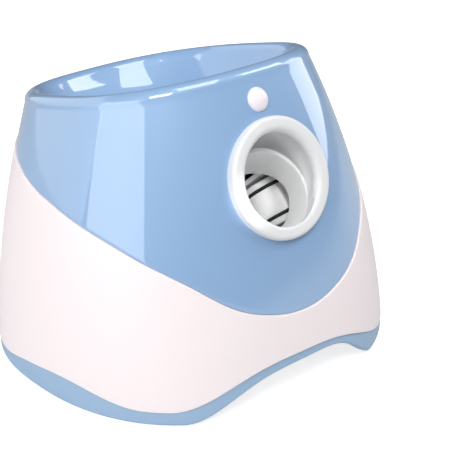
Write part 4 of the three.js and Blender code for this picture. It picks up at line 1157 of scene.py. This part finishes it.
def rear_panel():
    face = PANEL @ Matrix.Translation((0, 0, PANEL_PROUD - PANEL_THICK))
    panel = prism("panel_plate", stadium(PANEL_HALF_WIDTH, PANEL_HALF_HEIGHT), PANEL_THICK, face)
    ease_edges(panel, 0.5 * MM, 3, 50)
    sunk = prism(
        "cutter", stadium(PANEL_HALF_WIDTH - 2.5 * MM, PANEL_HALF_HEIGHT - 2.5 * MM), 4 * MM,
        PANEL @ Matrix.Translation((0, 0, PANEL_PROUD - 0.5 * MM)),
    )
    spot = on_panel(BUTTON_X)
    lights = [on_panel(x) for x in LIGHTS_X]
    holes = [bar("cutter", BUTTON_RADIUS + SHELL_GAP, -9 * MM, 9 * MM, spot, 64)]
    holes += [bar("cutter", LIGHT_RADIUS + 0.1 * MM, -9 * MM, 9 * MM, light, 32) for light in lights]
    cut_away(panel, sunk, *holes)
    dress(panel, NOZZLE_WHITE, ["control_bezel"])

    dish, ease = 0.5 * MM, 1.2 * MM
    cap = [
        (0, BUTTON_PROUD - dish), (BUTTON_RADIUS * 0.4, BUTTON_PROUD - dish * 0.85),
        (BUTTON_RADIUS - ease - MM, BUTTON_PROUD - 0.05 * MM),
    ]
    cap += [
        (BUTTON_RADIUS - ease * (1 - math.sin(turn)), BUTTON_PROUD - ease * (1 - math.cos(turn)))
        for turn in quarter(6)
    ]
    cap += [(BUTTON_RADIUS, -BUTTON_DEEP), (0, -BUTTON_DEEP)]
    button = lathe("button_cap", cap, spot, 64)
    dress(button, FRAME_GREY, ["power_button"], "power_button")
    power_mark(spot)
    for k, light in enumerate(lights):
        dome = [(LIGHT_RADIUS * math.sin(t), 0.9 * MM + 0.8 * MM * math.cos(t)) for t in quarter(6)]
        stem = [(LIGHT_RADIUS, -4 * MM), (0, -4 * MM)]
        lens = lathe(f"light_{k + 1}", dome + stem, light, 32)
        dress(lens, SENSOR_MILK, [f"led_lens_{k + 1}"])


def power_mark(spot):
    """The generic on and off mark: an open ring with a bar in its gap, raised on the button."""
    radius, width, gap = 2.6 * MM, 0.32 * MM, 32
    low = BUTTON_PROUD - 0.6 * MM
    turns = [(90 + gap + (360 - 2 * gap) * s) * DEGREE for s in shares(28)]
    outline = [((radius + width) * math.cos(t), (radius + width) * math.sin(t)) for t in turns]
    outline += [((radius - width) * math.cos(t), (radius - width) * math.sin(t)) for t in reversed(turns)]
    ring = prism("ring", outline, 0.4 * MM, spot @ Matrix.Translation((0, 0, low)))
    stroke = block("stroke", (-width, width), (0.7 * MM, 3.4 * MM), (low, low + 0.4 * MM))
    piece = joined("power_mark", [ring, settle(stroke, spot)])
    dress(piece, SOCKET_BLACK, (), "power_button")


def inlet():
    flange, room = JACK_RADIUS + 1.6 * MM, 3 * MM
    outline = [
        (0, -MM), (0.8 * MM, -1.1 * MM), (MM, -1.6 * MM), (MM, -9 * MM), (room, -9 * MM), (room, 0.9 * MM),
        (room + 0.5 * MM, 1.4 * MM), (flange - MM, 1.4 * MM), (flange, 0.6 * MM), (flange, 0),
        (JACK_RADIUS, 0), (JACK_RADIUS, -12 * MM), (0, -12 * MM),
    ]
    return dress(lathe("inlet", outline, JACK, 64), SOCKET_BLACK, ["dc_jack"])


CARRIED_OVER = {
    # The roller brackets take the paler grey, which has painted light in it to lift their shade.
    "roller_bracket_left": BRACKET_PAINTED_LIGHT_GREY, "roller_bracket_right": BRACKET_PAINTED_LIGHT_GREY,
    "bracket_leg_left": FRAME_GREY, "bracket_leg_right": FRAME_GREY,
    "feed_shaft": STEEL, "feed_gear": NYLON, "feed_pinion": BRASS,
    "feed_bracket_left": FRAME_GREY, "feed_bracket_right": FRAME_GREY,
    "battery_box": FRAME_GREY, "battery_contact_left": BRASS, "battery_contact_right": BRASS,
    "main_board": BOARD, "pir_board": BOARD, "control_board": BOARD,
}


def carried_over_nodes():
    for name, material in CARRIED_OVER.items():
        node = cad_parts[name]
        node.data.materials.clear()
        node.data.materials.append(material)


# Stage, light and camera.
def math_node(tree, operation, *values):
    """A math node whose values are numbers or other nodes' outputs."""
    node = tree.nodes.new("ShaderNodeMath")
    node.operation = operation
    for socket, value in zip(node.inputs, values):
        if isinstance(value, (int, float)):
            socket.default_value = value
        else:
            tree.links.new(value, socket)
    return node.outputs[0]


def floor():
    deselect()
    bpy.ops.mesh.primitive_plane_add(size=8, location=(0, 0, -0.05 * MM))
    piece = named("floor")
    material, nodes, links, shader = new_material("pale_floor", (150, 150, 152))
    shader.inputs["Roughness"].default_value = 0.7
    shader.inputs["Specular IOR Level"].default_value = 0.2
    shader.inputs["Emission Color"].default_value = (1, 1, 1, 1)
    ray = nodes.new("ShaderNodeLightPath")
    to_camera = math_node(material.node_tree, "MULTIPLY", ray.outputs["Is Camera Ray"], FLOOR_GLOW)
    links.new(to_camera, shader.inputs["Emission Strength"])
    through = nodes.new("ShaderNodeBsdfTransparent")
    side = nodes.new("ShaderNodeNewGeometry")
    choice = nodes.new("ShaderNodeMixShader")
    links.new(side.outputs["Backfacing"], choice.inputs[0])
    links.new(shader.outputs[0], choice.inputs[1])
    links.new(through.outputs[0], choice.inputs[2])
    links.new(choice.outputs[0], nodes["Material Output"].inputs["Surface"])
    piece.data.materials.append(material)


def studio_world():
    """White behind the object, dark grey in its reflections, and a low level of light on everything."""
    world = bpy.data.worlds.new("studio")
    world.use_nodes = True
    bpy.context.scene.world = world
    nodes, links = world.node_tree.nodes, world.node_tree.links
    light = nodes["Background"]
    light.inputs["Color"].default_value = (0.97, 0.98, 1.0, 1)
    light.inputs["Strength"].default_value = PLAIN_LIGHT
    seen = nodes.new("ShaderNodeBackground")
    seen.inputs["Color"].default_value = (1, 1, 1, 1)
    ray = nodes.new("ShaderNodeLightPath")
    seen_strength = math_node(world.node_tree, "MAXIMUM", ray.outputs["Is Camera Ray"], PLAIN_LIGHT)
    links.new(seen_strength, seen.inputs["Strength"])
    either = math_node(world.node_tree, "MAXIMUM", ray.outputs["Is Camera Ray"], ray.outputs["Is Glossy Ray"])
    choice = nodes.new("ShaderNodeMixShader")
    links.new(either, choice.inputs[0])
    links.new(light.outputs[0], choice.inputs[1])
    links.new(seen.outputs[0], choice.inputs[2])
    links.new(choice.outputs[0], nodes["World Output"].inputs["Surface"])


def lamp_at(kind, name, bearing, elevation, away, aim, roll=0):
    """A lamp that faces its aim. The bearing is counted from the front towards the left."""
    turn, lift = bearing * DEGREE, elevation * DEGREE
    way = Vector((-math.sin(turn) * math.cos(lift), -math.cos(turn) * math.cos(lift), math.sin(lift)))
    bpy.ops.object.light_add(type=kind, location=aim + way * away)
    lamp = bpy.context.object
    lamp.name = name
    lamp.rotation_mode = "QUATERNION"
    lamp.rotation_quaternion = Quaternion(way, roll * DEGREE) @ way.to_track_quat("Z", "Y")
    return lamp


def softbox(name, bearing, elevation, away, width, height, radiance, roll=0):
    lamp = lamp_at("AREA", name, bearing, elevation, away, LAMP_AIM, roll)
    lamp.data.shape = "RECTANGLE"
    lamp.data.size = width
    lamp.data.size_y = height
    lamp.data.energy = radiance * math.pi * width * height
    return lamp


def snoot(name, bearing, elevation, away, aim, reach, power):
    """A narrow lamp for a hollow: its cone is as wide as the reach where it meets its aim."""
    lamp = lamp_at("SPOT", name, bearing, elevation, away, aim)
    lamp.data.spot_size = 2 * math.atan(reach / away)
    lamp.data.spot_blend = 0.4
    lamp.data.shadow_soft_size = 4 * MM
    lamp.data.energy = power
    lamp.visible_glossy = False
    return lamp


def studio_lamps():
    softbox("left_softbox", 82, 18.5, 1.5, 1.4, 1.06, 1.24)
    softbox("left_reflection", 82, 18.5, 1.53, 1.428, 1.081, 1.1).visible_diffuse = False
    softbox("left_wall", 150, 20, 2.6, 4.4, 2.4, 1.0)
    softbox("right_softbox", -79, 15, 1.5, 0.6, 0.75, 0.95)
    softbox("right_reflection", -79, 15, 1.53, 0.612, 0.765, 2.0).visible_diffuse = False
    softbox("high_softbox", -29, 66, 1.3, 0.6, 0.69, 4.6, -40)
    softbox("high_right_softbox", -69, 41.5, 1.4, 0.49, 0.39, 5.2, -44)
    softbox("camera_softbox", 35, 48, 1.4, 0.5, 0.5, 10.6)
    softbox("left_fill", 70, 40, 1.5, 0.6, 0.6, 3.1).visible_glossy = False
    ball_hole = NOZZLE @ Vector((-6 * MM, -12 * MM, -CUP_FLOOR))
    snoot("nozzle_snoot", 36, 27, 1.5, ball_hole, 20 * MM, 42)


def camera():
    bpy.ops.object.camera_add(location=CAMERA_PLACE)
    view = bpy.context.object
    ahead = (CAMERA_TARGET - CAMERA_PLACE).normalized()
    level = ahead.cross(Vector((0, 0, 1))).normalized()
    upright = level.cross(ahead)
    right = level * math.cos(CAMERA_ROLL) + upright * math.sin(CAMERA_ROLL)
    up = upright * math.cos(CAMERA_ROLL) - level * math.sin(CAMERA_ROLL)
    view.rotation_mode = "QUATERNION"
    view.rotation_quaternion = Matrix((right, up, -ahead)).transposed().to_quaternion()
    view.data.lens = CAMERA_LENS
    view.data.sensor_width = 36
    bpy.context.scene.camera = view


upper_casing()
hopper_funnel()
lower_casing()
foot_band()
base_floor()
foot_pads()
base_screws()
nozzle_flange()
launch_barrel()
roller_units()
feed_wheel()
cells()
door()
sensor_dome()
rear_panel()
inlet()
carried_over_nodes()
floor()
studio_world()
studio_lamps()
camera()
bpy.context.scene.view_settings.view_transform = "Standard"
